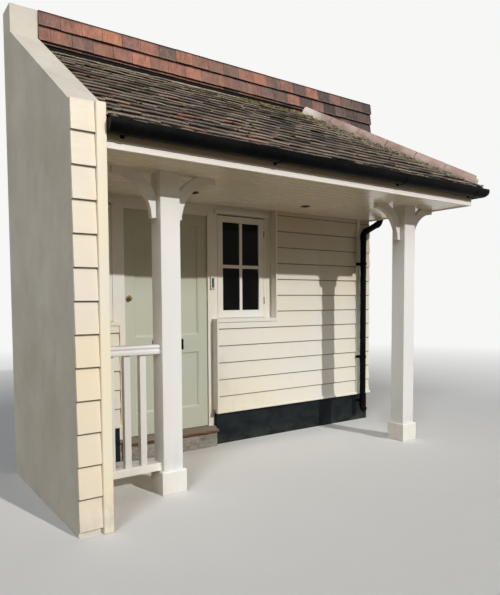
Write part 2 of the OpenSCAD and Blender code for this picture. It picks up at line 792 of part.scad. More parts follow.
// A curved band brace; its outer edge lies against the post and the soffit near its ends and
// leaves the corner between them open
module brace(side) translate([side * (post_size / 2 + brace_reach), brace_t / 2, -brace_reach])
    rotate([90, 0, 0]) linear_extrude(brace_t) intersection() {
        difference() {
            circle(r = brace_reach - brace_end + brace_band, $fn = 96);
            circle(r = brace_reach - brace_end, $fn = 96);
        }
        translate([side > 0 ? -brace_reach : 0, 0]) square(brace_reach);
    }

module braces() color("#f2f2f2") placed() for (x = post_xs, side = [1, -1])
    translate([x, post_y, soffit_z]) brace(side);

// Half the width of the handrail at parts of its height, with a waist in the middle
rail_shape = [[0.47, 0], [0.5, 0.12], [0.5, 0.38], [0.42, 0.5], [0.42, 0.56], [0.5, 0.68],
    [0.5, 0.86], [0.4, 1]];

module handrail() color("#f4f4f2") placed() along_x(0, post_first)
    translate([post_y, rail_top - rail_h]) polygon([
        for (p = rail_shape) [p[0] * rail_w, p[1] * rail_h],
        for (k = [len(rail_shape) - 1 : -1 : 0]) [-rail_shape[k][0] * rail_w,
            rail_shape[k][1] * rail_h]]);

module bottom_rail() color("#f4f4f2") placed() along_x(0, post_first)
    translate([post_y - low_rail_w / 2, low_rail_z]) polygon([[0, 0], [low_rail_w, 0],
        [low_rail_w, low_rail_h - 6], [low_rail_w - 8, low_rail_h], [8, low_rail_h],
        [0, low_rail_h - 6]]);

module balusters() color("#f4f4f2") placed()
    for (x = [post_first - baluster_first : -baluster_pitch : baluster / 2])
        block([x - baluster / 2, post_y - baluster / 2, low_rail_z + low_rail_h],
            [x + baluster / 2, post_y + baluster / 2, rail_top - rail_h]);

module soffit() color("#efe9d8") placed() difference() {
    block([0, -canopy_out + fascia_t, soffit_z], [canopy_w - fascia_t, board_t, soffit_z + soffit_t]);
    for (y = [-canopy_out + fascia_t + soffit_board : soffit_board : -soffit_board / 2])
        along_x(-1, canopy_w) translate([y, soffit_z]) rotate(45)
            square(soffit_groove, center = true);
    for (part = light_x) translate([canopy_w * part, -light_out, soffit_z - 1])
        cylinder(r = light_hole + fit, h = soffit_t + 2);
}

module downlights() color("#2b2926") placed() for (part = light_x)
    translate([canopy_w * part, -light_out, soffit_z]) {
        translate([0, 0, -5]) difference() {
            cylinder(r = light_r, h = 5);
            translate([0, 0, -1]) cylinder(r = light_hole - light_t, h = 7);
        }
        difference() {
            cylinder(r = light_hole, h = light_h);
            translate([0, 0, -1]) cylinder(r = light_hole - light_t, h = light_h * 0.7);
        }
    }

// Everything over the underside of one slope, drawn from the tile edge backwards
module over_slope() translate([-2 * deep, -roof_depth]) square([2 * canopy_out, 10 * deep]);

// Everything over the undersides of both slopes
module over_slopes() {
    translate([-1, eaves_y, eaves_z]) rotate([90, 0, 90]) rotate(roof_pitch)
        linear_extrude(eaves_x + 2) over_slope();
    translate([eaves_x, board_t + 1, eaves_z]) rotate([90, 0, 0]) mirror([1, 0]) rotate(hip_pitch)
        linear_extrude(roof_run + 2) over_slope();
}

module fascia_front() color("#f4f3ee") placed() difference() {
    block([0, -canopy_out, soffit_z - fascia_drop],
        [canopy_w, -canopy_out + fascia_t, eaves_z + deep]);
    translate([canopy_w, -canopy_out - 1, 0]) rotate([0, 0, 45]) cube([100, 100, wall_h]);
    over_slopes();
}

module fascia_end() color("#f4f3ee") placed() difference() {
    block([canopy_w - fascia_t, -canopy_out, soffit_z - fascia_drop],
        [canopy_w, board_t, eaves_z + deep]);
    translate([canopy_w + 1, -canopy_out - 1, 0]) rotate([0, 0, 135]) cube([100, 100, wall_h]);
    block([canopy_w - fascia_t - 1, -fit, 0], [canopy_w + 1, board_t + 1, soffit_z]);
    over_slopes();
}

// Outline of one roof slope, lapped courses on top, running up from the tile edge and past its head
module slope_outline(length) {
    gauge = length / roof_courses;
    past = length + 2 * deep;
    polygon(concat(
        [[past, -roof_depth], [tile_over, -roof_depth], [tile_over, -edge_depth], [0, -edge_depth]],
        [for (k = [1 : roof_courses]) each [[(k - 1) * gauge, tile_step],
            [k == roof_courses ? past : k * gauge, tile_head]]]));
}

module roof_front() color("#6f6355") placed() intersection() {
    translate([0, eaves_y, eaves_z]) rotate([90, 0, 90]) rotate(roof_pitch)
        linear_extrude(eaves_x + 1) slope_outline(roof_slope);
    linear_extrude(wall_h) polygon([[0, board_t], [hip_start, board_t],
        [eaves_x + hip_run * 0.1, eaves_y - roof_run * 0.1], [0, eaves_y - roof_run * 0.1]]);
}

module roof_end() color("#6f6355") placed() intersection() {
    translate([eaves_x, board_t, eaves_z]) rotate([90, 0, 0]) mirror([1, 0]) rotate(hip_pitch)
        linear_extrude(roof_run + 1) slope_outline(hip_slope);
    linear_extrude(wall_h) polygon([[hip_start, board_t], [eaves_x + hip_run * 0.1, board_t],
        [eaves_x + hip_run * 0.1, eaves_y - roof_run * 0.1]]);
}

// Lays a child that runs along X down the hip, starting at its top
module down_hip() translate([hip_start, board_t, roof_top_z + hip_lift])
    rotate([0, 0, -hip_turn]) rotate([0, hip_tilt, 0]) children();

// Upper half of a disc, its middle below the line of the hip
module half_disc(r) translate([0, -hip_sink]) intersection() {
    circle(r = r);
    translate([-r, 0]) square([2 * r, r]);
}

// Room in front of the hanging tiles, where the hip may lie
module before_wall() block([0, -2 * canopy_out, 0],
    [2 * canopy_w, hanging_y - fit, wall_h]);

module hip_tiles() color("#b59086") placed() intersection() {
    before_wall();
    down_hip() for (k = [0 : hip_count - 1])
        translate([hip_lead + k * (hip_len + hip_joint), 0, 0]) along_x(0, hip_len) difference() {
            half_disc(hip_r);
            half_disc(hip_r - hip_t);
        }
}

// The mortar that beds the hip tiles: it fills them and follows both slopes
module hip_mortar() color("#c9c0b2") placed() intersection() {
    length = hip_count * (hip_len + hip_joint) - hip_joint;
    wide = hip_r + 1;
    inner = hip_r - hip_t - 1;
    before_wall();
    down_hip() difference() {
        union() {
            along_x(hip_lead, hip_lead + length) half_disc(hip_r - hip_t - fit);
            along_x(hip_lead, hip_lead + length)
                translate([-hip_r, -hip_sink - hip_r]) square([2 * hip_r, hip_r]);
            along_x(hip_lead, hip_lead + length)
                translate([-inner, -hip_sink - 10]) square([2 * inner, 12]);
        }
        along_x(hip_lead - 1, hip_lead + length + 1) polygon([[-wide, -wide * front_fall], [0, 0],
            [wide, -wide * end_fall], [wide, -2 * wide], [-wide, -2 * wide]]);
    }
}

// Section of the gutter, its axis at the centre of the half round
module gutter_outline() {
    difference() {
        union() {
            circle(r = gutter_r);
            translate([-gutter_r, 0]) square([2 * gutter_r, gutter_side]);
        }
        circle(r = gutter_r - gutter_t);
        translate([gutter_t - gutter_r, 0]) square([2 * (gutter_r - gutter_t), gutter_side + 1]);
        translate([-gutter_r - 1, gutter_side]) square([2 * gutter_r + 2, 2 * gutter_r]);
    }
    translate([-gutter_r + gutter_bead, gutter_side]) circle(r = gutter_bead, $fn = 24);
}

module gutter_stop() linear_extrude(gutter_t) union() {
    intersection() {
        circle(r = gutter_r);
        translate([-gutter_r, -gutter_r]) square([2 * gutter_r, gutter_r]);
    }
    translate([-gutter_r, 0]) square([2 * gutter_r, gutter_side]);
}

// The half space on the front side of the mitre between the two gutters
module mitre_side(front) linear_extrude(wall_h) polygon(front
    ? [[-1, -canopy_out - mitre], [canopy_w + mitre, -canopy_out - mitre],
        [canopy_w - mitre, -canopy_out + mitre], [-1, -canopy_out + mitre]]
    : [[canopy_w + mitre, -canopy_out - mitre], [canopy_w + mitre, board_t],
        [canopy_w - mitre, board_t], [canopy_w - mitre, -canopy_out + mitre]]);

module gutter_front() color("#15171a") placed() {
    intersection() {
        translate([0, -canopy_out - gutter_mid, gutter_axis_z]) rotate([90, 0, 90])
            linear_extrude(canopy_w + gutter_reach) gutter_outline();
        mitre_side(true);
    }
    translate([0, -canopy_out - gutter_mid, gutter_axis_z]) rotate([90, 0, 90]) gutter_stop();
}

module gutter_end() color("#15171a") placed() {
    difference() {
        intersection() {
            translate([canopy_w + gutter_mid, -8, gutter_axis_z]) rotate([90, 0, 0])
                linear_extrude(canopy_out + gutter_reach) mirror([1, 0]) gutter_outline();
            mitre_side(false);
        }
        translate([outlet_x, outlet_y, gutter_axis_z - gutter_r - 10])
            cylinder(r = pipe_r - 3, h = gutter_r);
    }
    translate([canopy_w + gutter_mid, -8, gutter_axis_z]) rotate([90, 0, 0]) gutter_stop();
}

// A bracket under the gutter, with its back plate on the fascia
module gutter_bracket() {
    linear_extrude(bracket_w) difference() {
        union() {
            circle(r = gutter_r + bracket_t);
            translate([gutter_r - 2, -gutter_r - bracket_t])
                square([gutter_gap + 2, gutter_r + bracket_t + gutter_side]);
        }
        circle(r = gutter_r + fit);
        translate([-2 * gutter_r, 0]) square([3 * gutter_r + fit, 2 * gutter_r]);
        translate([gutter_mid, -2 * gutter_r]) square([deep, 4 * gutter_r]);
    }
}

module gutter_brackets() color("#15171a") placed() {
    for (part = bracket_x) translate([canopy_w * part, -canopy_out - gutter_mid, gutter_axis_z])
        rotate([90, 0, 90]) gutter_bracket();
    for (part = bracket_y) translate([canopy_w + gutter_mid, -canopy_out * part, gutter_axis_z])
        rotate([90, 0, 0]) mirror([1, 0]) gutter_bracket();
}

// A bend that leaves the origin downwards and turns towards X
module pipe_elbow(angle) translate([pipe_bend, 0, 0]) rotate([-90, 0, 180])
    rotate_extrude(angle = angle) translate([pipe_bend, 0]) circle(r = pipe_r);

// A socket that covers the joint of a bend at z = 0 and a straight pipe above it
module pipe_joint(length, socket) {
    translate([0, 0, lap / 2]) cylinder(r = pipe_r, h = length - lap / 2);
    translate([0, 0, -lap]) cylinder(r = pipe_r + pipe_socket, h = socket + lap);
}

// The gutter's outlet, the swan neck back to the wall, the pipe and its shoe
module downpipe() color("#15171a") placed() {
    outlet_z = gutter_axis_z - gutter_r - 0.2;
    neck_z = soffit_z - neck_drop;
    elbow_z = neck_z - neck_fall;
    bend = pipe_bend * tan(neck_lean / 2);
    straight = norm([neck_reach, neck_fall]) - 2 * bend;
    shoe_z = pipe_foot + pipe_bend * tan(shoe_turn / 2);
    translate([outlet_x, outlet_y, neck_z + bend]) {
        pipe_joint(outlet_z - neck_z - bend, socket_h / 2);
        rotate([0, 0, neck_turn]) pipe_elbow(neck_lean);
    }
    translate([outlet_x, outlet_y, neck_z]) rotate([0, 0, neck_turn]) rotate([0, 180 - neck_lean, 0])
        translate([0, 0, bend]) {
            pipe_joint(straight / 2 + lap, socket_h / 2);
            translate([0, 0, straight]) mirror([0, 0, 1]) pipe_joint(straight / 2, socket_h / 2);
        }
    translate([pipe_x, pipe_y, elbow_z - bend]) {
        mirror([0, 0, 1]) pipe_joint(neck_tail, socket_h);
        rotate([0, 0, neck_turn + 180]) mirror([0, 0, 1]) pipe_elbow(neck_lean);
    }
    translate([pipe_x, pipe_y, shoe_z]) {
        pipe_joint(elbow_z - bend - shoe_z - neck_tail / 2, socket_h / 2);
        rotate([0, 0, -90]) pipe_elbow(shoe_turn);
    }
}

module pipe_clips() color("#15171a") placed() for (z = clip_z) translate([pipe_x, pipe_y, z]) {
    difference() {
        union() {
            cylinder(r = pipe_r + 5, h = clip_h);
            translate([-14, 0, 0]) cube([28, pipe_r + pipe_gap, clip_h]);
            translate([-pipe_r - 20, pipe_r + pipe_gap - 5, 0])
                cube([pipe_r + 20 + 10, 5, clip_h]);
        }
        translate([0, 0, -1]) cylinder(r = pipe_r + fit, h = clip_h + 2);
    }
}

plinth_wall();
wall_right();
walls_under_windows();
wall_over_porch();
weatherboards();
corner_boards();
drip_boards();
hanging_tiles();
side_wall();
side_boards();
side_corner_board();
step_block();
threshold();
frame_post_left();
frame_post_right();
window_jambs();
frame_head();
window_sills();
casement_left();
casement_right();
window_glass();
window_hoods();
door_leaf();
letter_plate();
latch_pull();
door_hinges();
frame_hinges();
bell_push();
post_left();
post_right();
post_feet();
braces();
handrail();
bottom_rail();
balusters();
soffit();
downlights();
fascia_front();
fascia_end();
roof_front();
roof_end();
hip_tiles();
hip_mortar();
gutter_front();
gutter_end();
gutter_brackets();
downpipe();
pipe_clips();
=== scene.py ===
"""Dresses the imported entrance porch: single tiles, hardware, materials, light and camera.

Metres, in the frame of the CAD model. mm(x, y, z) turns a point of the layout that the part's
source uses into it: millimetres from the side wall's porch face, from the face of the house
wall's boards and from the ground.
"""
import json
import math
import random

import bmesh
import bpy
from mathutils import Matrix, Vector, noise


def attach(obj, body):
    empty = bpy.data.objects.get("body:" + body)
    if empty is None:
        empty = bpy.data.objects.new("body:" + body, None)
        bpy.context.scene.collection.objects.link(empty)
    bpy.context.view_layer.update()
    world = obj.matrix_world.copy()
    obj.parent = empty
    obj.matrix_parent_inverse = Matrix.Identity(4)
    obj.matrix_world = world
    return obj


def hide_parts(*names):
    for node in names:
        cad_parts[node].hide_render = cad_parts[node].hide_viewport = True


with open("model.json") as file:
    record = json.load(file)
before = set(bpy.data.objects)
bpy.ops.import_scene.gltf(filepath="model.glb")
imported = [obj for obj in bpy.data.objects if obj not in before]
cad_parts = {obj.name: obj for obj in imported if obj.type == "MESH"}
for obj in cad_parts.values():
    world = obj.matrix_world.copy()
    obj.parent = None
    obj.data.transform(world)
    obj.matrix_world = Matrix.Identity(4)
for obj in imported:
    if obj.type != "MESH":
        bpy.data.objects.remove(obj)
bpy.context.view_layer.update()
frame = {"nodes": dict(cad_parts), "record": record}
NODES = frame["nodes"]

# ---------------------------------------------------------------- sizes that follow the source
MID_X, MID_Y = 1764.5, -580.5       # the frame's origin, in the layout
CANOPY_W, BOARD_T = 3610.0, 25.0
EAVES_X, EAVES_Y, EAVES_Z = 3674.0, -1341.0, 2425.0
ROOF_RISE, HIP_RUN = 858.0, 1098.0
ROOF_RUN = BOARD_T - EAVES_Y
HIP_START = EAVES_X - HIP_RUN
ROOF_TOP = EAVES_Z + ROOF_RISE
ROOF_PITCH = math.atan2(ROOF_RISE, ROOF_RUN)
HIP_PITCH = math.atan2(ROOF_RISE, HIP_RUN)
FRONT_L = ROOF_RISE / math.sin(ROOF_PITCH)
END_L = ROOF_RISE / math.sin(HIP_PITCH)
WALL_H = ROOF_TOP + 277.0
COURSES, TILE_STEP, TILE_W, TILE_T = 16, 16.0, 165.0, 12.0
HANG_COURSES, HANG_GAUGE, HANG_T = 11, 112.0, 11.0
HANG_Y, HANG_LEAN, ABUTMENT = -5.0, 20.0, 34.0
CLIP_X, CLIP_Y = 3391.0, -10.2      # screws of the pipe clips
CASEMENTS = (("right", 1613), ("left", 23))

# ---------------------------------------------------------------- what only the scene has
LEAN_SHARE = 0.86                   # part of a course's step that a tile loses over one gauge
# The underside's run below 0 gets painted shade, the shadow gap under each tile's foot.
UNDERSIDE = 0.25                    # what the underside of a tile takes off its run
DECK_TOP, DECK_LOW = -7.0, -44.0    # the deck under the roof tiles, along the slope's normal
DECK_EDGE, DECK_MITRE = 30.0, 12.0  # its setback at the eaves and at the hip
FELT_ABOVE_ROOF = 8.0
HIP_TILE_HALF = 95.0                # moss ends where the hip tiles begin


def mm(x, y, z):
    """A point of the source's layout, in the frame."""
    return Vector(((x - MID_X) / 1000, (y - MID_Y) / 1000, z / 1000))


# ---------------------------------------------------------------- node materials
class Look:
    """A Principled material whose colour, roughness and bump come from object coordinates."""

    MIX_FAC, MIX_A, MIX_B, MIX_OUT = 0, 6, 7, 2     # the colour sockets of a Mix node

    def __init__(self, name, rough=0.5, metal=0.0, specular=0.5):
        self.mat = bpy.data.materials.new(name)
        self.mat.use_nodes = True
        self.tree = self.mat.node_tree
        self.tree.nodes.clear()
        self.out = self.node("ShaderNodeOutputMaterial")
        self.bsdf = self.node("ShaderNodeBsdfPrincipled")
        self.put(self.out.inputs["Surface"], self.bsdf.outputs[0])
        self.bsdf.inputs["Roughness"].default_value = rough
        self.bsdf.inputs["Metallic"].default_value = metal
        self.bsdf.inputs["Specular IOR Level"].default_value = specular
        self.place = self.node("ShaderNodeTexCoord").outputs["Object"]
        self.last_bump = None

    def node(self, kind, **facts):
        made = self.tree.nodes.new(kind)
        for key, value in facts.items():
            setattr(made, key, value)
        return made

    def put(self, socket, value):
        """Links a socket to another one, or gives it a number or a colour."""
        if isinstance(value, bpy.types.NodeSocket):
            self.tree.links.new(value, socket)
        elif isinstance(value, tuple) and len(value) == 3:
            socket.default_value = (*value, 1.0) if socket.type == "RGBA" else value
        else:
            socket.default_value = value

    def noise(self, scale, stretch=(1, 1, 1), detail=4.0, rough=0.55, shift=(0, 0, 0)):
        """Noise from 0 to 1, scale features to a metre, stretched by its own mapping."""
        mapping = self.node("ShaderNodeMapping")
        self.put(mapping.inputs["Vector"], self.place)
        mapping.inputs["Scale"].default_value = stretch
        mapping.inputs["Location"].default_value = shift
        made = self.node("ShaderNodeTexNoise")
        self.put(made.inputs["Vector"], mapping.outputs[0])
        made.inputs["Scale"].default_value = scale
        made.inputs["Detail"].default_value = detail
        made.inputs["Roughness"].default_value = rough
        return made.outputs["Fac"]

    def span(self, value, low, high, to_low=0.0, to_high=1.0):
        """A value turned from low...high into to_low...to_high, and held at their ends."""
        made = self.node("ShaderNodeMapRange")
        self.put(made.inputs["Value"], value)
        made.inputs["From Min"].default_value = low
        made.inputs["From Max"].default_value = high
        made.inputs["To Min"].default_value = to_low
        made.inputs["To Max"].default_value = to_high
        return made.outputs[0]

    def calc(self, what, a, b=0.0):
        made = self.node("ShaderNodeMath", operation=what)
        self.put(made.inputs[0], a)
        self.put(made.inputs[1], b)
        return made.outputs[0]

    def times(self, a, b):
        return self.calc("MULTIPLY", a, b)

    def mix(self, fac, a, b):
        made = self.node("ShaderNodeMix", data_type="RGBA")
        self.put(made.inputs[self.MIX_FAC], fac)
        self.put(made.inputs[self.MIX_A], a)
        self.put(made.inputs[self.MIX_B], b)
        return made.outputs[self.MIX_OUT]

    def ramp(self, fac, stops):
        made = self.node("ShaderNodeValToRGB")
        self.put(made.inputs[0], fac)
        marks = made.color_ramp.elements
        while len(marks) < len(stops):
            marks.new(0.5)
        for mark, (where, colour) in zip(marks, stops):
            mark.position = where
            mark.color = (*colour, 1.0)
        return made.outputs[0]

    def axis(self, letter):
        """Height or distance along one axis, in metres of the frame."""
        made = self.node("ShaderNodeSeparateXYZ")
        self.put(made.inputs[0], self.place)
        return made.outputs["XYZ".index(letter)]

    def own_value(self, name):
        """A value that the tiles carry in their mesh."""
        return self.node("ShaderNodeAttribute", attribute_name=name).outputs["Fac"]

    def bump(self, height, depth, strength=1.0):
        """Bump of a height from 0 to 1 that is depth metres deep; further calls add to it."""
        made = self.node("ShaderNodeBump")
        self.put(made.inputs["Height"], height)
        made.inputs["Distance"].default_value = depth
        made.inputs["Strength"].default_value = strength
        if self.last_bump is not None:
            self.put(made.inputs["Normal"], self.last_bump)
        self.last_bump = made.outputs[0]
        self.put(self.bsdf.inputs["Normal"], self.last_bump)

    def colour(self, value):
        self.put(self.bsdf.inputs["Base Color"], value)

    def roughness(self, value):
        self.put(self.bsdf.inputs["Roughness"], value)


def darker(rgb, by):
    return tuple(c * by for c in rgb)


def warmer(rgb, by):
    return rgb[0] * (1 + by), rgb[1], rgb[2] * (1 - 2.4 * by)


GRIME_AND_LAP_SHADE = (0.16, 0.13, 0.09)
STAIN = (0.30, 0.25, 0.17)
DUST_AND_OVERHEAD_SHADE = (0.27, 0.205, 0.11)
LAP_SHADE = (0.085, 0.07, 0.05)
UPRIGHT, LEVEL = (14, 14, 1), (1, 14, 14)           # grain, squeezed across its own direction


def paint(name, rgb, rough, grain, dirt, lap=None, warm=0.05, splash=0.45, overhead_shade_and_dust=None,
          relief=0.0005):
    """Brushed paint on wood: faint grain, uneven tone and stains, as many as dirt says.

    lap gives a lap line's height and the gauge of lapped boards, which get painted shade under each
    lap and a painted shadow line at it. splash is the grime near the ground. The last pair of
    heights and its amount give painted shade from the canopy or gutter overhead, with some dust,
    that thickens between them.
    """
    look = Look(name, rough)
    tone = look.noise(1.3, detail=3.0)
    base = look.mix(look.span(tone, 0.35, 0.65), rgb, warmer(rgb, warm))
    strokes = look.noise(9.0, grain, 5.0, 0.6)
    base = look.mix(look.span(strokes, 0.3, 0.7, 0.0, 0.05), base, darker(rgb, 0.72))
    if lap:
        start, gauge = lap
        boards = look.calc("DIVIDE", look.calc("SUBTRACT", look.axis("Z"), start), gauge)
        along, which = look.calc("FRACT", boards), look.calc("FLOOR", boards)
        chance = look.node("ShaderNodeTexWhiteNoise", noise_dimensions="1D")
        look.put(chance.inputs["W"], which)
        uneven = look.span(chance.outputs["Value"], 0, 1, 0.0, 0.10)
        base = look.mix(uneven, base, darker(rgb, 0.80))
        # Painted shade: the top of each board darkens towards the lap above it.
        edge = look.span(along, 0.84, 1.0, 0.0, 0.22)
        base = look.mix(look.times(edge, look.span(tone, 0.3, 0.7, 0.4, 1.0)), base, GRIME_AND_LAP_SHADE)
        # A painted shadow line under each lap.
        base = look.mix(look.span(along, 0.935, 0.952, 0.0, 0.92), base, LAP_SHADE)
    spots = look.span(look.noise(3.1, (1, 1, 0.45), 8.0, 0.7), 0.56, 0.80, 0.0, dirt)
    base = look.mix(spots, base, STAIN)
    if splash:
        near = look.span(look.axis("Z"), 0.0, 0.42, splash, 0.0)
        rough_edge = look.span(look.noise(16.0, (1, 1, 0.6), 6.0, 0.7), 0.38, 0.72)
        base = look.mix(look.times(near, rough_edge), base, GRIME_AND_LAP_SHADE)
    # Painted shade of the canopy or gutter overhead, with some dust, darker towards the top.
    if overhead_shade_and_dust:
        low, high, amount = overhead_shade_and_dust
        dusty = look.span(look.axis("Z"), low, high, 0.0, amount)
        base = look.mix(look.times(dusty, look.span(tone, 0.25, 0.65, 0.7, 1.0)), base, DUST_AND_OVERHEAD_SHADE)
    look.colour(base)
    look.roughness(look.span(strokes, 0.3, 0.7, rough - 0.06, rough + 0.10))
    look.bump(strokes, relief, 0.5)
    look.bump(look.noise(2.2, detail=2.0), 0.003, 0.25)
    return look.mat


def masonry_paint():
    look = Look("plinth paint", 0.5, specular=0.12)
    patch = look.noise(5.0, (1, 1, 1.6), 6.0, 0.65)
    base = look.mix(look.span(patch, 0.4, 0.7), (0.006, 0.009, 0.010), (0.016, 0.021, 0.024))
    dust = look.span(look.noise(24.0, detail=8.0, rough=0.75), 0.60, 0.78, 0.0, 0.35)
    low_down = look.span(look.axis("Z"), 0.30, 0.0, 0.25, 1.0)
    base = look.mix(look.times(dust, low_down), base, (0.36, 0.35, 0.32))
    damp = look.span(look.axis("Z"), 0.10, 0.0, 0.0, 0.5)
    green = look.times(damp, look.span(patch, 0.4, 0.6))
    base = look.mix(green, base, (0.055, 0.060, 0.040))
    look.colour(base)
    look.roughness(look.span(patch, 0.3, 0.7, 0.35, 0.65))
    look.bump(look.noise(38.0, detail=6.0), 0.003, 0.5)
    look.bump(patch, 0.008, 0.5)
    return look.mat


def plaster():
    look = Look("lime plaster", 0.85, specular=0.3)
    patch = look.noise(1.7, detail=6.0, rough=0.6)
    base = look.mix(look.span(patch, 0.35, 0.65), (0.58, 0.53, 0.44), (0.70, 0.66, 0.58))
    runs = look.span(look.noise(9.0, (1, 1, 0.4), 8.0, 0.7), 0.58, 0.8, 0.0, 0.4)
    look.colour(look.mix(runs, base, (0.36, 0.31, 0.23)))
    look.bump(look.noise(22.0, detail=6.0), 0.003, 0.5)
    look.bump(patch, 0.012, 0.5)
    return look.mat


def clay(name, stops, lichen, moss, streak, dark, edge, shade):
    """Weathered clay for lapped tiles.

    The colours come from the tone, moss and lichen that each tile carries, and from run, which
    goes from 0 at its foot to 1 under the next course, and below 0 on the underside of the foot.
    edge is the colour at the foot: lichen and wear, and partly a painted highlight where sun lights
    the butt. shade says where the painted shade, with some dirt, towards the next course starts and
    ends and how dark it gets; the underside of the foot gets near-black painted shade. dark is the
    amount of dark clouds, and streak stretches them.
    """
    look = Look(name, 0.82, specular=0.25)
    mottled = look.span(look.noise(26.0), 0.3, 0.7, -0.05, 0.05)
    base = look.ramp(look.calc("ADD", look.own_value("tone"), mottled), stops)
    cloud = look.noise(11.0, streak, 7.0, 0.7)
    base = look.mix(look.span(cloud, 0.42, 0.72, 0.0, dark), base, (0.055, 0.045, 0.040))
    speck = look.noise(85.0, detail=6.0, rough=0.75)
    base = look.mix(look.span(speck, 0.45, 0.75, 0.0, 0.5), base, darker(stops[0][1], 0.55))
    pale = look.span(look.noise(34.0, streak, 8.0, 0.75, (3, 1, 7)), 0.52, 0.68, 0.0, 0.75)
    base = look.mix(look.times(pale, look.own_value("lichen")), base, lichen)
    green = look.span(look.noise(19.0, streak, 8.0, 0.75, (1, 5, 2)), 0.44, 0.60)
    base = look.mix(look.times(green, look.own_value("moss")), base, moss)
    run = look.own_value("run")
    worn = look.times(look.span(speck, 0.30, 0.60), look.span(look.own_value("lichen"), 0.2, 0.9))
    # Pale foot: lichen and wear, with a painted highlight where sun lights the tile's butt.
    base = look.mix(look.times(look.span(run, 0.16, 0.0, 0.0, 0.95), worn), base, edge)
    # Painted shade, with some dirt, darkening towards the next course.
    base = look.mix(look.span(run, shade[0], shade[1], 0.0, shade[2]), base, (0.014, 0.011, 0.009))
    # Painted shade on the underside of the foot, the shadow gap under it.
    base = look.mix(look.span(run, -0.08, -0.16, 0.0, 0.92), base, (0.012, 0.010, 0.008))
    look.colour(base)
    look.bump(speck, 0.0016, 0.8)
    look.bump(cloud, 0.004, 0.5)
    return look.mat


def hip_clay():
    """Half-round tiles with lichen and a little moss, pale with mortar at their top end."""
    look = Look("hip tile clay", 0.75, specular=0.3)
    patch = look.noise(4.0, detail=7.0, rough=0.65)
    base = look.ramp(patch, [(0.30, (0.20, 0.14, 0.12)), (0.48, (0.39, 0.26, 0.22)),
                             (0.66, (0.52, 0.40, 0.35))])
    lichen = look.span(look.noise(30.0, detail=8.0, rough=0.75), 0.52, 0.72, 0.0, 0.55)
    base = look.mix(lichen, base, (0.26, 0.23, 0.19))
    moss = look.noise(13.0, detail=8.0, rough=0.75, shift=(4, 4, 4))
    base = look.mix(look.span(moss, 0.60, 0.72, 0.0, 0.6), base, (0.20, 0.19, 0.08))
    top_end = mm(HIP_START, 0, 0).x
    near_top = look.span(look.axis("X"), top_end + 0.14, top_end + 0.02, 0.0, 0.65)
    look.colour(look.mix(near_top, base, (0.80, 0.74, 0.66)))
    look.bump(look.noise(70.0, detail=6.0, rough=0.7), 0.0018, 0.8)
    look.bump(patch, 0.006, 0.5)
    return look.mat


def mortar():
    """Lime mortar with moss, cleaner and paler at both ends of the hip."""
    look = Look("lime mortar", 0.92, specular=0.2)
    patch = look.noise(12.0, detail=8.0, rough=0.75)
    base = look.mix(look.span(patch, 0.35, 0.65), (0.66, 0.61, 0.52), (0.34, 0.30, 0.24))
    moss = look.noise(20.0, detail=8.0, rough=0.7, shift=(2, 2, 9))
    base = look.mix(look.span(moss, 0.54, 0.66, 0.0, 0.7), base, (0.22, 0.21, 0.09))
    top_end, low_end = mm(HIP_START, 0, 0).x, mm(EAVES_X, 0, 0).x
    ends = look.calc("MAXIMUM", look.span(look.axis("X"), top_end + 0.10, top_end + 0.04),
                     look.span(look.axis("X"), low_end - 0.07, low_end - 0.04))
    clean = look.times(ends, look.span(patch, 0.7, 0.5, 0.6, 1.0))
    look.colour(look.mix(clean, base, (0.92, 0.86, 0.70)))
    look.bump(look.noise(60.0, detail=8.0, rough=0.8), 0.005, 0.9)
    return look.mat


def moss_look():
    """Yellow-green over the porch, brown and crumbling along the hip."""
    look = Look("moss", 0.95, specular=0.15)
    patch = look.noise(30.0, detail=6.0, rough=0.7)
    green = look.ramp(patch, [(0.30, (0.07, 0.065, 0.022)), (0.5, (0.21, 0.19, 0.055)),
                              (0.72, (0.42, 0.36, 0.12))])
    brown = look.ramp(patch, [(0.30, (0.055, 0.044, 0.031)), (0.5, (0.20, 0.163, 0.112)),
                              (0.72, (0.44, 0.37, 0.27))])
    hip = look.span(look.axis("X"), mm(2350, 0, 0).x, mm(2700, 0, 0).x, 0.25, 1.0)
    look.colour(look.mix(hip, green, brown))
    look.bump(look.noise(240.0, detail=4.0, rough=0.8), 0.004, 1.0)
    return look.mat


def stone():
    look = Look("step stone", 0.8, specular=0.3)
    patch = look.noise(6.0, (1, 1, 3), 8.0, 0.7)
    base = look.ramp(patch, [(0.3, (0.16, 0.15, 0.13)), (0.5, (0.30, 0.28, 0.24)),
                             (0.7, (0.40, 0.38, 0.33))])
    soiled = look.span(look.noise(40.0), 0.5, 0.75, 0.0, 0.5)
    look.colour(look.mix(soiled, base, (0.10, 0.10, 0.07)))
    look.bump(look.noise(45.0, detail=8.0, rough=0.75), 0.004, 0.7)
    return look.mat


def bare_oak():
    """The threshold: grey and worn on its top, from 0.166 m up, and dark brown in front."""
    look = Look("bare oak", 0.8, specular=0.25)
    grain = look.noise(7.0, (1.2, 16, 16), 8.0, 0.7)
    top = look.ramp(grain, [(0.32, (0.11, 0.085, 0.065)), (0.5, (0.25, 0.195, 0.15)),
                            (0.68, (0.40, 0.34, 0.28))])
    worn = look.span(look.noise(3.0, detail=5.0), 0.45, 0.7, 0.0, 0.6)
    top = look.mix(worn, top, (0.36, 0.32, 0.27))
    front = look.ramp(grain, [(0.32, (0.045, 0.022, 0.012)), (0.5, (0.13, 0.062, 0.035)),
                              (0.68, (0.26, 0.15, 0.09))])
    look.colour(look.mix(look.span(look.axis("Z"), 0.166, 0.161), top, front))
    look.bump(grain, 0.004, 0.9)
    return look.mat


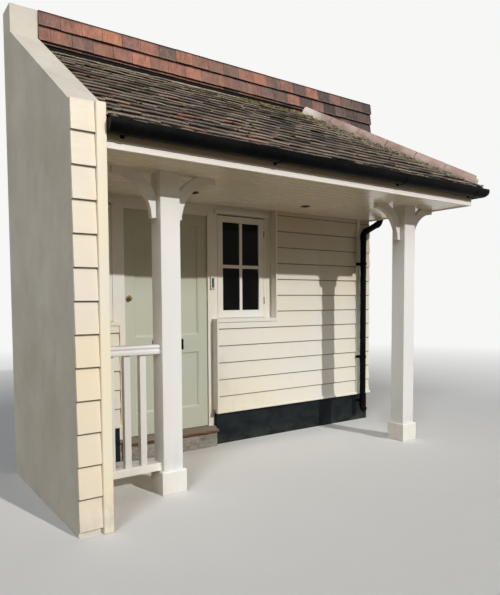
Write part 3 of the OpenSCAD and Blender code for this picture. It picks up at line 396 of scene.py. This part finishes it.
def glass():
    look = Look("window glass", 0.03, specular=0.055)
    tint = look.span(look.noise(1.6, detail=2.0), 0.4, 0.6)
    look.colour(look.mix(tint, (0.002, 0.002, 0.002), (0.005, 0.007, 0.004)))
    look.bsdf.inputs["IOR"].default_value = 1.45
    look.bump(look.noise(3.5, detail=1.0), 0.002, 0.25)
    return look.mat


def black_coat(name, rough):
    look = Look(name, rough, specular=0.035)
    dust = look.noise(8.0, detail=8.0, rough=0.7)
    dusty = look.span(dust, 0.45, 0.75)
    look.colour(look.mix(dusty, (0.0022, 0.0022, 0.0025), (0.0075, 0.007, 0.0065)))
    look.roughness(look.span(dust, 0.3, 0.7, rough, rough + 0.2))
    look.bump(look.noise(30.0), 0.0008, 0.5)
    return look.mat


def worn_metal(name, low, high, rough, metal=1.0):
    look = Look(name, rough, metal)
    worn = look.noise(60.0, detail=6.0, rough=0.7)
    look.colour(look.mix(look.span(worn, 0.35, 0.65), low, high))
    look.roughness(look.span(worn, 0.3, 0.7, rough - 0.08, rough + 0.15))
    look.bump(worn, 0.0004, 0.5)
    return look.mat


def felt():
    look = Look("roofing felt", 0.95, specular=0.1)
    look.colour(look.mix(look.noise(40.0), (0.006, 0.006, 0.006), (0.022, 0.020, 0.018)))
    look.bump(look.noise(150.0), 0.001, 0.6)
    return look.mat


# A tile's tone, from 0 to 1, and the colour of its clay.
WALL_CLAY = [(0.0, (0.070, 0.052, 0.052)), (0.20, (0.135, 0.090, 0.082)),
             (0.38, (0.215, 0.140, 0.115)), (0.52, (0.32, 0.165, 0.130)),
             (0.70, (0.47, 0.200, 0.140)), (0.88, (0.60, 0.265, 0.16)), (1.0, (0.50, 0.31, 0.22))]
ROOF_CLAY = [(0.0, (0.050, 0.042, 0.036)), (0.30, (0.125, 0.102, 0.084)),
             (0.62, (0.235, 0.188, 0.152)), (0.84, (0.310, 0.215, 0.170)),
             (0.93, (0.40, 0.190, 0.140)), (1.0, (0.50, 0.245, 0.180))]

LOOKS = {
    "plinth_black": masonry_paint(),
    "wall_core": plaster(),
    # Boards: painted shade of the canopy above 1.5 m, with some dust.
    "board_paint": paint("board paint", (0.745, 0.722, 0.66), 0.45, UPRIGHT, 0.25,
                         lap=(0.304, 0.160), splash=0.15, overhead_shade_and_dust=(1.5, 1.95, 0.55)),
    "side_paint": paint("side board paint", (0.745, 0.672, 0.565), 0.45, LEVEL, 0.22,
                        lap=(0.040, 0.190), warm=0.08, splash=0.25),
    "corner_paint": paint("corner board paint", (0.80, 0.75, 0.635), 0.45, UPRIGHT, 0.25,
                          warm=0.08, splash=0.4),
    # Joinery: painted shade of the canopy above 1.6 m, with some dust.
    "white_joinery": paint("joinery paint", (0.77, 0.757, 0.725), 0.36, UPRIGHT, 0.18,
                           overhead_shade_and_dust=(1.6, 2.1, 0.30)),
    # Fascia: painted shadow of the gutter on its upper part, with some dust.
    "fascia_paint": paint("fascia paint", (0.86, 0.835, 0.80), 0.36, LEVEL, 0.06,
                          warm=0.02, splash=0.0, overhead_shade_and_dust=(2.299, 2.307, 0.90)),
    # Posts: painted shade of the canopy at their tops.
    "post_paint": paint("post paint", (0.78, 0.78, 0.785), 0.36, UPRIGHT, 0.12,
                        warm=0.02, splash=0.35, overhead_shade_and_dust=(2.12, 2.19, 0.25)),
    "foot_paint": paint("foot board paint", (0.87, 0.85, 0.80), 0.36, UPRIGHT, 0.10,
                        warm=0.02, splash=0.15),
    "soffit_gloss": paint("soffit gloss", (0.86, 0.82, 0.73), 0.20, (1, 5, 1), 0.06,
                          warm=0.03, splash=0.0, relief=0.0001),
    "wall_tile": clay("wall tile clay", WALL_CLAY, lichen=(0.44, 0.33, 0.25),
                      moss=(0.16, 0.15, 0.09), streak=(1, 1, 0.35), dark=0.72,
                      edge=(0.38, 0.24, 0.18), shade=(0.82, 0.94, 0.92)),
    "roof_tile": clay("roof tile clay", ROOF_CLAY, lichen=(0.42, 0.38, 0.31),
                      moss=(0.20, 0.18, 0.06), streak=(1, 1, 1), dark=0.55,
                      edge=(0.72, 0.60, 0.47), shade=(0.22, 0.80, 0.93)),
    "hip_tile": hip_clay(),
    "mortar": mortar(),
    "step_stone": stone(),
    "threshold_oak": bare_oak(),
    "glass": glass(),
    # Door: painted shade of the canopy above 1.4 m, with some dust.
    "door_paint": paint("door paint", (0.51, 0.545, 0.46), 0.40, UPRIGHT, 0.06,
                        warm=0.03, splash=0.12, overhead_shade_and_dust=(1.40, 1.80, 0.52)),
    "black_metal": black_coat("gloss black", 0.28),
    "aged_brass": worn_metal("darkened brass", (0.10, 0.075, 0.045), (0.34, 0.26, 0.14), 0.42),
    "bell_grey": worn_metal("bell plate", (0.42, 0.42, 0.43), (0.55, 0.55, 0.55), 0.45, 0.3),
    "lamp_metal": worn_metal("lamp metal", (0.05, 0.042, 0.034), (0.11, 0.095, 0.08), 0.4, 0.8),
}
OTHER_LOOKS = {"side_boards": "side_paint", "side_corner_board": "corner_paint",
               "fascia_front": "fascia_paint", "fascia_end": "fascia_paint",
               "post_feet": "foot_paint", "bottom_rail": "foot_paint"}
FELT, MOSS = felt(), moss_look()


# ---------------------------------------------------------------- the carried-over CAD nodes
EDGE_ANGLE = math.radians(35)
ROUNDED = {"threshold": 4.0, "step_block": 5.0, "plinth_wall": 4.0, "post_feet": 2.5,
           "handrail": 4.0, "door_leaf": 1.2, "letter_plate": 1.5, "corner_boards": 4.0,
           "side_corner_board": 5.0}
ROUNDED_ELSE = 2.0
SHARP = {"window_glass", "wall_right", "walls_under_windows", "wall_over_porch", "side_wall",
         "soffit", "hip_mortar", "door_hinges", "frame_hinges", "gutter_front", "gutter_end",
         "downpipe", "latch_pull"}
slots = {row["node"]: row["material_slot"] for row in frame["record"]["subparts"]}


def dress(name, node):
    """Gives a CAD node its material and softens its edges."""
    node.data.materials.clear()
    node.data.materials.append(LOOKS[OTHER_LOOKS.get(name, slots[name])])
    for face in node.data.polygons:
        face.use_smooth = True
    node.modifiers.new("weld", "WELD").merge_threshold = 1e-5
    if name in SHARP:
        node.modifiers.new("edges", "EDGE_SPLIT").split_angle = EDGE_ANGLE
    else:
        bevel = node.modifiers.new("bevel", "BEVEL")
        bevel.width = ROUNDED.get(name, ROUNDED_ELSE) / 1000
        bevel.segments = 2
        bevel.limit_method = "ANGLE"
        bevel.angle_limit = EDGE_ANGLE
    node.modifiers.new("shading", "WEIGHTED_NORMAL").keep_sharp = True


for node_name, cad_node in NODES.items():
    dress(node_name, cad_node)


# ---------------------------------------------------------------- new pieces
def to_mesh(made, name):
    """The finished mesh of closed shapes, with their faces turned outwards."""
    bmesh.ops.recalc_face_normals(made, faces=made.faces)
    mesh = bpy.data.meshes.new(name)
    made.to_mesh(mesh)
    made.free()
    return mesh


def piece(name, mesh, look, body="porch", stands_for=()):
    """A new piece that rides on a body."""
    made = bpy.data.objects.new(name, mesh)
    bpy.context.scene.collection.objects.link(made)
    mesh.materials.append(look)
    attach(made, body)
    for node in stands_for:
        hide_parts(node)
    return made


def slab(name, first, second, look):
    """A closed plate between two outlines with the same number of points."""
    made = bmesh.new()
    near, far = ([made.verts.new(point) for point in outline] for outline in (first, second))
    made.faces.new(near)
    made.faces.new(far[::-1])
    for k in range(len(near)):
        j = (k + 1) % len(near)
        made.faces.new([near[j], near[k], far[k], far[j]])
    return piece(name, to_mesh(made, name), look)


def plate(name, corners, y0, y1, look):
    """A closed plate with the outline corners, (x, z) in layout mm, from y0 to y1."""
    return slab(name, [mm(x, y0, z) for x, z in corners], [mm(x, y1, z) for x, z in corners], look)


# ---------------------------------------------------------------- tiles
class Slope:
    """A tiled plane: u along the eaves, v up the slope and n outwards, in layout millimetres."""

    def __init__(self, origin, u, v, n):
        self.origin, self.u, self.v, self.n = (Vector(a) for a in (origin, u, v, n))

    def at(self, u, v, n):
        return mm(*(self.origin + self.u * u + self.v * v + self.n * n))


class TileKind:
    """Gauge, thickness and step of a course, half the joint between two tiles, and how far
    single tiles differ: the height of their crown, their ragged foot and how much they lift
    and rock. All in millimetres."""

    def __init__(self, gauge, thick, step, gap, crown, ragged, lifts):
        self.gauge, self.thick, self.lean, self.gap = gauge, thick, step * LEAN_SHARE / gauge, gap
        self.crown, self.ragged, self.lifts = crown, ragged, lifts


front = Slope((0, EAVES_Y, EAVES_Z), (1, 0, 0), (0, math.cos(ROOF_PITCH), math.sin(ROOF_PITCH)),
              (0, -math.sin(ROOF_PITCH), math.cos(ROOF_PITCH)))
end = Slope((EAVES_X, EAVES_Y, EAVES_Z), (0, 1, 0), (-math.cos(HIP_PITCH), 0, math.sin(HIP_PITCH)),
            (math.sin(HIP_PITCH), 0, math.cos(HIP_PITCH)))
wall = Slope((0, HANG_Y, 0), (1, 0, 0), (0, 0, 1), (0, -1, 0))

TILE_VALUES = ("tone", "moss", "lichen")
TILE_CELLS = 4                              # across a tile
TILE_ROWS = (0.0, 0.12, 0.62, 1.0)          # from its foot up
SLIVER = 0.012                              # what is left of a cut tile in metres, and is dropped


def new_tiles():
    made = bmesh.new()
    made.verts.layers.float.new("run")
    for key in TILE_VALUES:
        made.faces.layers.float.new(key)
    return made


def add_tile(target, slope, kind, u0, u1, v0, v1, top, chance, cuts, values):
    """Adds one closed tile, slightly crowned and ragged at its foot.

    top is the height of its foot over the slope, cuts are (point, outward normal) planes and
    values its tone, moss and lichen.
    """
    tile = bmesh.new()
    layers = [tile.faces.layers.float.new(key) for key in TILE_VALUES]
    along = tile.verts.layers.float.new("run")
    nu, nv = TILE_CELLS, len(TILE_ROWS) - 1
    twist = chance.uniform(-0.008, 0.008)
    lift = chance.uniform(-1.0, kind.lifts)
    rock = chance.uniform(-0.5, 0.5) * kind.lifts
    crown = kind.crown * chance.uniform(0.2, 1.0)
    foot = [chance.uniform(-kind.ragged, kind.ragged) for _ in range(nu + 1)]
    grid = {}
    for side in (0, 1):
        for i in range(nu + 1):
            for j, t in enumerate(TILE_ROWS):
                s = i / nu
                u = u0 + (u1 - u0) * s
                v = v0 + (v1 - v0) * t + (u - (u0 + u1) / 2) * twist + (0.0 if j else foot[i])
                curve = crown * (1 - (2 * s - 1) ** 2) + rock * (2 * s - 1)
                n = top + lift - kind.lean * (v - v0) + curve * (1 - t)
                grid[side, i, j] = tile.verts.new(slope.at(u, v, n - side * kind.thick))
                run = (v1 - v0) * t / kind.gauge
                # The underside's lower run carries the painted shade under the foot.
                grid[side, i, j][along] = run - (UNDERSIDE if side else 0.0)

    def face(*keys):
        tile.faces.new([grid[key] for key in keys])

    for i in range(nu):
        for j in range(nv):
            face((0, i, j), (0, i + 1, j), (0, i + 1, j + 1), (0, i, j + 1))
            face((1, i, j + 1), (1, i + 1, j + 1), (1, i + 1, j), (1, i, j))
    for i in range(nu):
        face((1, i, 0), (1, i + 1, 0), (0, i + 1, 0), (0, i, 0))
        face((0, i, nv), (0, i + 1, nv), (1, i + 1, nv), (1, i, nv))
    for j in range(nv):
        face((0, 0, j), (0, 0, j + 1), (1, 0, j + 1), (1, 0, j))
        face((1, nu, j), (1, nu, j + 1), (0, nu, j + 1), (0, nu, j))
    for point, normal in cuts:
        ahead = [(v.co - point).dot(normal) for v in tile.verts]
        if not ahead or min(ahead) > -SLIVER:
            tile.free()
            return
        if max(ahead) > 0:
            everything = tile.verts[:] + tile.edges[:] + tile.faces[:]
            bmesh.ops.bisect_plane(tile, geom=everything, plane_co=point, plane_no=normal,
                                   clear_outer=True)
            rim = [e for e in tile.edges if e.is_boundary]
            bmesh.ops.edgeloop_fill(tile, edges=rim)
    for tile_face in tile.faces:
        for layer, value in zip(layers, values):
            tile_face[layer] = value
    made = bpy.data.meshes.new("tile")
    tile.to_mesh(made)
    tile.free()
    target.from_mesh(made)
    bpy.data.meshes.remove(made)


def drift(x, y, z, scale):
    """Smooth noise from about -1 to 1."""
    return noise.noise(Vector((x, y, z)) * scale)


def within(low, value, high):
    return min(high, max(low, value))


def roof_tone(chance, x, where):
    """Mostly grey-brown tiles, darkest in the middle of the roof.

    Orange ones are rare and gather at the lower left and near the wall. where goes from 0 at the
    eaves to 1 at the wall.
    """
    orange = 0.03
    if where > 0.5 and 2150 < x < 2900:
        orange += 0.22
    if where < 0.3 and x < 1300:
        orange += 0.12
    if chance.random() < orange:
        return chance.uniform(0.88, 1.0)
    middle = max(0.0, 1 - abs(x - 1900) / 900) * max(0.0, 1 - abs(where - 0.5) / 0.45)
    patches = 0.26 * drift(x / 1000, where * 2, 0.3, 1.7)
    return within(0.0, 0.52 - 0.36 * middle + patches + chance.gauss(0, 0.20), 0.86)


def cover_roof(slope, length, width, cuts, seed, far):
    """Courses of plain tiles over one slope, with a short course under the eaves.

    far(u) gives the place along the front that the colours follow. One tile in twenty has
    slipped. At the left end of the top course the tiles are painted pale: a painted highlight where
    sun lights their upper edges.
    """
    chance = random.Random(seed)
    made = new_tiles()
    gauge = length / COURSES
    kind = TileKind(gauge, TILE_T, TILE_STEP, gap=1.2, crown=2.5, ragged=3.2, lifts=5.0)
    for course in range(-1, COURSES):
        row = max(course, 0)
        where = row / COURSES
        v0 = row * gauge + chance.uniform(-1.5, 1.5)
        reach = gauge * (1.5 if course >= 0 else 0.7)
        top = TILE_STEP if course >= 0 else TILE_STEP - TILE_T - 1.0
        u = -TILE_W * (0.5 if course % 2 else 1.0) + chance.uniform(-8, 8)
        while u < width:
            w = TILE_W + chance.uniform(-4, 3)
            x = far(u)
            bare = 0.5 + 0.5 * drift(x / 1000, where * 3, 1.1, 2.3)
            damp = within(0.0, (where - 0.55) * 1.7 + 0.55 * (bare - 0.35), 1.0)
            slip = chance.uniform(-3, 3)
            if chance.random() < 0.05:
                slip -= chance.uniform(6, 14)
            tone = roof_tone(chance, x, where)
            pale = within(0.0, 0.2 + 0.5 * bare + chance.gauss(0.1, 0.3), 1.0)
            # Painted highlight: the left end of the top course is made pale where sun lights its
            # edges.
            if course == COURSES - 1 and x < 1500:
                tone, pale = 0.80, 1.0
            add_tile(made, slope, kind, u + kind.gap, u + w - kind.gap, v0 + slip,
                     min(v0 + reach, length + 20), top, chance, cuts, (tone, damp, pale))
            u += w
    return made


hip_down = (mm(EAVES_X, EAVES_Y, 0) - mm(HIP_START, BOARD_T, 0)).normalized()
hip_side = Vector((-hip_down.y, hip_down.x, 0))
hip_point = mm(HIP_START, BOARD_T, ROOF_TOP)
wall_face = (mm(0, BOARD_T - 1, 0), Vector((0, 1, 0)))
side_face = (mm(1, 0, 0), Vector((-1, 0, 0)))
front_tiles = cover_roof(front, FRONT_L, EAVES_X, [side_face, (hip_point, hip_side), wall_face],
                         11, lambda u: u)
piece("roof_tiles_front", to_mesh(front_tiles, "roof_tiles_front"), LOOKS["roof_tile"],
      stands_for=["roof_front"])
end_tiles = cover_roof(end, END_L, ROOF_RUN, [(hip_point, -hip_side), wall_face],
                       12, lambda u: 3000 + u / 3)
piece("roof_tiles_end", to_mesh(end_tiles, "roof_tiles_end"), LOOKS["roof_tile"],
      stands_for=["roof_end"])


def front_hip(v):
    """Where the hip crosses the front slope, v mm up it."""
    return EAVES_X - HIP_RUN * v / FRONT_L


def end_hip(v):
    return ROOF_RUN * v / END_L


def deck(name, slope, corners):
    """The boards and battens under the tiles, with the outline corners, (u, v) in mm."""
    return slab(name, [slope.at(u, v, DECK_TOP) for u, v in corners],
                [slope.at(u, v, DECK_LOW) for u, v in corners], FELT)


deck_end = FRONT_L - 34
deck("roof_deck_front", front, [(1, DECK_EDGE), (front_hip(DECK_EDGE) - DECK_MITRE, DECK_EDGE),
                                (front_hip(deck_end) - DECK_MITRE, deck_end), (1, deck_end)])
deck("roof_deck_end", end, [(end_hip(DECK_EDGE) + DECK_MITRE, DECK_EDGE), (ROOF_RUN - 2, DECK_EDGE),
                            (ROOF_RUN - 2, END_L * 0.955)])


def hang_wall():
    """Hanging tiles, cut along the roof and the hip, darker and more purple to the right."""
    chance = random.Random(23)
    made = new_tiles()
    kind = TileKind(HANG_GAUGE, HANG_T, HANG_LEAN, gap=1.6, crown=1.6, ragged=1.2, lifts=1.5)
    hip_normal = Vector((ROOF_RISE, 0, HIP_RUN)).normalized()
    level = (mm(0, 0, ROOF_TOP + ABUTMENT), Vector((0, 0, -1)))
    slanted = (mm(HIP_START, 0, ROOF_TOP + ABUTMENT), -hip_normal)
    ends = [side_face, (mm(CANOPY_W, 0, 0), Vector((1, 0, 0))),
            (mm(0, 0, WALL_H), Vector((0, 0, 1)))]
    for course in range(HANG_COURSES):
        v0 = WALL_H - HANG_COURSES * HANG_GAUGE + course * HANG_GAUGE
        u = -TILE_W * (0.5 if course % 2 else 1.0) + chance.uniform(-4, 4)
        while u < CANOPY_W:
            w = TILE_W + chance.uniform(-2, 3)
            middle = u + w / 2
            shade = 0.60 - 0.30 * max(0.0, (middle - 1300) / 2300)
            shade += 0.14 * drift(middle / 1000, v0 / 1000, 4.2, 2.0)
            tone = within(0.0, shade + chance.gauss(0, 0.13 + 0.10 * middle / CANOPY_W), 1.0)
            low_cut = slanted if middle > HIP_START + 20 else level
            foot = v0 + chance.uniform(-2, 2)
            top = chance.uniform(-0.5, 1.5)
            damp, pale = 0.12 * chance.random(), 0.25 + 0.3 * chance.random()
            add_tile(made, wall, kind, u + kind.gap, u + w - kind.gap, foot,
                     v0 + HANG_GAUGE * 1.12, top, chance, ends + [low_cut], (tone, damp, pale))
            u += w
    return piece("wall_tiles", to_mesh(made, "wall_tiles"), LOOKS["wall_tile"],
                 stands_for=["hanging_tiles"])


hang_wall()
felt_low, felt_right = ROOF_TOP + FELT_ABOVE_ROOF, CANOPY_W - 1
plate("wall_felt", [(1, felt_low), (HIP_START, felt_low),
                    (felt_right, felt_low - (felt_right - HIP_START) * ROOF_RISE / HIP_RUN),
                    (felt_right, WALL_H - 1), (1, WALL_H - 1)], 20.5, 24.5, FELT)


# ---------------------------------------------------------------- moss
def clump(target, centre, size, chance):
    """A small flattened, lumpy cushion of moss."""
    turn = Matrix.Rotation(chance.uniform(0, 6.28), 3, "Z")
    for vert in bmesh.ops.create_icosphere(target, subdivisions=2, radius=1.0)["verts"]:
        lump = 1.0 + 0.35 * noise.noise(vert.co * 2.3 + centre * 37)
        flat = Vector((vert.co.x * size[0], vert.co.y * size[1], vert.co.z * size[2]))
        vert.co = centre + turn @ flat * lump


def grow_moss():
    """Moss on the front slope: a bank along the hip, a patch under the wall, a little anywhere."""
    chance = random.Random(31)
    made = bmesh.new()
    gauge = FRONT_L / COURSES
    places = []                     # u, v, size and share of it that is height
    for _ in range(760):
        v = FRONT_L * chance.uniform(0.06, 0.97)
        reach = 420 * (0.30 + 0.70 * math.sin(math.pi * v / FRONT_L))
        far = chance.random() ** 1.5
        places.append((front_hip(v) - 98 - reach * far, v, chance.uniform(7, 30 - 14 * far), 0.6))
    for _ in range(150):
        u = chance.gauss(2150, 190)
        v = FRONT_L - 45 - 150 * chance.random() ** 1.5
        places.append((u, v, chance.uniform(8, 26), 0.30))
    for _ in range(90):
        u = chance.uniform(20, 3100)
        places.append((u, gauge * chance.randrange(COURSES), chance.uniform(6, 18), 0.45))
    for u, v, size, height in places:
        if u > front_hip(v) - HIP_TILE_HALF or u < 20:
            continue
        rise = TILE_STEP * (1 - LEAN_SHARE * (v % gauge) / gauge)
        shape = (size / 1000, size * 0.8 / 1000, size * height / 1000)
        clump(made, front.at(u, v, rise), shape, chance)
    for face in made.faces:
        face.smooth = True
    mesh = bpy.data.meshes.new("roof_moss")
    made.to_mesh(mesh)
    made.free()
    return piece("roof_moss", mesh, MOSS)


grow_moss()


# ---------------------------------------------------------------- the hip's low end
HIP_END = ((67, 1866), (67, 1880), (65, 1894), (57, 1905), (38, 1911))


def hip_end():
    """The rounded mortar that closes the low end: half rings of (radius, way along the hip)."""
    sides, sunk = 16, 20
    turn = math.atan2(ROOF_RUN, HIP_RUN)
    tilt = math.atan2(ROOF_RISE, math.hypot(ROOF_RUN, HIP_RUN))
    lie = (Matrix.Translation(mm(HIP_START, BOARD_T, ROOF_TOP + sunk))
           @ Matrix.Rotation(-turn, 4, "Z") @ Matrix.Rotation(tilt, 4, "Y"))
    made = bmesh.new()
    rows = []
    for radius, along in HIP_END:
        ring = [(radius * math.cos(a), radius * math.sin(a) - sunk)
                for a in (math.pi * k / sides for k in range(sides + 1))]
        rows.append([made.verts.new(lie @ (Vector((along, y, z)) / 1000)) for y, z in ring])
    for low, high in zip(rows, rows[1:]):
        for k in range(sides):
            made.faces.new([low[k], low[k + 1], high[k + 1], high[k]])
    made.faces.new(rows[0])
    made.faces.new(rows[-1][::-1])
    made.faces.new([row[0] for row in rows] + [row[-1] for row in reversed(rows)])
    return piece("hip_end_mortar", to_mesh(made, "hip_end_mortar"), LOOKS["mortar"])


hip_end()


# ---------------------------------------------------------------- small hardware
def lathe(name, rings, places, look, body="porch", sides=24):
    """Closed round pieces: rings are (radius, height) from end to end, places a matrix each."""
    made = bmesh.new()
    circle = [(math.cos(a), math.sin(a)) for a in (math.tau * k / sides for k in range(sides))]
    for matrix in places:
        loops = []
        for radius, height in rings:
            loops.append([made.verts.new(matrix @ Vector((radius * c, radius * s, height)))
                          for c, s in circle])
        for low, high in zip(loops, loops[1:]):
            for k in range(sides):
                j = (k + 1) % sides
                made.faces.new([low[k], low[j], high[j], high[k]])
        made.faces.new(loops[0][::-1])
        made.faces.new(loops[-1])
    mesh = to_mesh(made, name)
    for face in mesh.polygons:
        face.use_smooth = len(face.vertices) == 4
    return piece(name, mesh, look, body)


def facing(x, y, z, way):
    """A matrix at a layout point whose Z axis looks along way."""
    turn = Vector(way).to_track_quat("Z", "Y").to_matrix().to_4x4()
    return Matrix.Translation(mm(x, y, z)) @ turn


OUT, UP = (0, -1, 0), (0, 0, 1)
SQUARE = ((-1, -1), (1, -1), (1, 1), (-1, 1))
SCREW = [(0.0035, 0.0), (0.0035, 0.0012), (0.0022, 0.0020), (0.0008, 0.0021)]
KNUCKLE = [(0.0035, -0.036), (0.0052, -0.034), (0.0052, 0.034), (0.0035, 0.036)]
BELL_X, BELL_Z = 1554, 1535
lathe("clip_screws", SCREW, [facing(CLIP_X, CLIP_Y, z + 15, OUT) for z in (220, 716, 1754)],
      LOOKS["black_metal"], sides=12)
lathe("plate_screws", SCREW, [facing(1093 + side * 143, 94, 971, OUT) for side in (-1, 1)],
      LOOKS["black_metal"], body="door", sides=12)
lathe("casement_knuckles", KNUCKLE,
      [facing(x, 80.5, z, UP) for x in (2163, 23) for z in (1368, 2025)],
      LOOKS["aged_brass"], sides=16)
# A dark strip under each casement's hood: painted shadow where the hood shades the casement's top.
for side, hinge_x in CASEMENTS:
    plate("casement_head_shadow_" + side,
          [(hinge_x + a, z) for a, z in ((4, 2174), (546, 2174), (546, 2181), (4, 2181))],
          81.8, 83.4, FELT)
plate("bell_slot", [(BELL_X + a * 9, BELL_Z + b * 44) for a, b in SQUARE],
      69.0, 70.9, LOOKS["black_metal"])

# ---------------------------------------------------------------- stage
BACKDROP = (0.93, 0.93, 0.92, 1.0)
FLOOR_HALF = 60
GROUND_LIGHT = (0.225, 0.162, 0.075)    # what the floor throws back: the warm gravel of the photo


def lay_floor():
    """A pale floor that fades into the backdrop, 4 to 13 m from the object."""
    mesh = bpy.data.meshes.new("floor")
    corners = [(x * FLOOR_HALF, y * FLOOR_HALF, 0) for x, y in SQUARE]
    mesh.from_pydata(corners, [], [(0, 1, 2, 3)])
    made = bpy.data.objects.new("floor", mesh)
    made.location.z = -0.0005
    bpy.context.scene.collection.objects.link(made)
    look = Look("pale floor", 0.9, specular=0.1)
    bounced = look.node("ShaderNodeLightPath").outputs["Is Diffuse Ray"]
    pale = look.mix(look.noise(2.0), (0.80, 0.79, 0.77), (0.83, 0.82, 0.80))
    look.colour(look.mix(bounced, pale, GROUND_LIGHT))
    away = look.node("ShaderNodeVectorMath", operation="LENGTH")
    look.put(away.inputs[0], look.place)
    direct = look.calc("SUBTRACT", 1.0, bounced)
    shine = look.node("ShaderNodeEmission")
    shine.inputs["Color"].default_value = BACKDROP
    cover = look.node("ShaderNodeMixShader")
    look.put(cover.inputs[0], look.times(look.span(away.outputs["Value"], 4.0, 13.0), direct))
    look.put(cover.inputs[1], look.bsdf.outputs[0])
    look.put(cover.inputs[2], shine.outputs[0])
    look.put(look.out.inputs["Surface"], cover.outputs[0])
    mesh.materials.append(look.mat)
    return made


floor = lay_floor()


def light_world():
    """A faint sky as light; camera, mirror and glass rays see the backdrop."""
    world = bpy.data.worlds.new("studio")
    bpy.context.scene.world = world
    world.use_nodes = True
    tree = world.node_tree
    tree.nodes.clear()

    def background(colour, strength):
        made = tree.nodes.new("ShaderNodeBackground")
        made.inputs["Color"].default_value = colour
        made.inputs["Strength"].default_value = strength
        return made.outputs[0]

    rays = tree.nodes.new("ShaderNodeLightPath").outputs
    seen = rays["Is Camera Ray"]
    for ray in ("Is Transmission Ray", "Is Glossy Ray"):
        either = tree.nodes.new("ShaderNodeMath")
        either.operation = "MAXIMUM"
        tree.links.new(seen, either.inputs[0])
        tree.links.new(rays[ray], either.inputs[1])
        seen = either.outputs[0]
    both = tree.nodes.new("ShaderNodeMixShader")
    tree.links.new(seen, both.inputs[0])
    tree.links.new(background((0.95, 0.97, 1.0, 1.0), 0.06), both.inputs[1])
    tree.links.new(background(BACKDROP, 1.0), both.inputs[2])
    tree.links.new(both.outputs[0], tree.nodes.new("ShaderNodeOutputWorld").inputs["Surface"])


def sun(name, energy, angle, rgb, way):
    """A sun lamp; way points towards it."""
    data = bpy.data.lights.new(name, "SUN")
    data.energy, data.angle, data.color = energy, math.radians(angle), rgb
    made = bpy.data.objects.new(name, data)
    made.rotation_mode = "QUATERNION"
    made.rotation_quaternion = Vector(way).to_track_quat("Z", "Y")
    bpy.context.scene.collection.objects.link(made)


light_world()
sun("key", 2.30, 1, (1.0, 0.975, 0.945), (0.22, -1.0, 0.49))
sun("fill", 1.50, 24, (0.89, 0.95, 1.0), (-0.74, -0.66, 0.56))

# ---------------------------------------------------------------- the photo's camera
SENSOR = 36.0                           # mm, along the picture's longer side, its height
PICTURE_H, FOCAL = 595, 558.7           # in pixels of the photo
SHIFT_X, SHIFT_Y = -1.0, 34.6
YAW, PITCH, ROLL = (math.radians(a) for a in (35.35, 3.217, 0.298))
EYE = (-2.9735, -3.8605, 1.366)


def place_camera():
    level = math.cos(PITCH)
    ahead = Vector((math.sin(YAW) * level, math.cos(YAW) * level, -math.sin(PITCH)))
    level_right = Vector((math.cos(YAW), -math.sin(YAW), 0))
    level_down = ahead.cross(level_right)
    right = level_right * math.cos(ROLL) + level_down * math.sin(ROLL)
    down = level_down * math.cos(ROLL) - level_right * math.sin(ROLL)
    data = bpy.data.cameras.new("camera")
    data.sensor_width = SENSOR
    data.lens = SENSOR * FOCAL / PICTURE_H
    data.shift_x, data.shift_y = SHIFT_X / PICTURE_H, SHIFT_Y / PICTURE_H
    made = bpy.data.objects.new("camera", data)
    made.matrix_world = Matrix([(right[k], -down[k], -ahead[k], EYE[k]) for k in range(3)]
                               + [(0, 0, 0, 1)])
    bpy.context.scene.collection.objects.link(made)
    bpy.context.scene.camera = made


place_camera()
bpy.context.scene.view_settings.view_transform = "Standard"

bpy.context.view_layer.update()
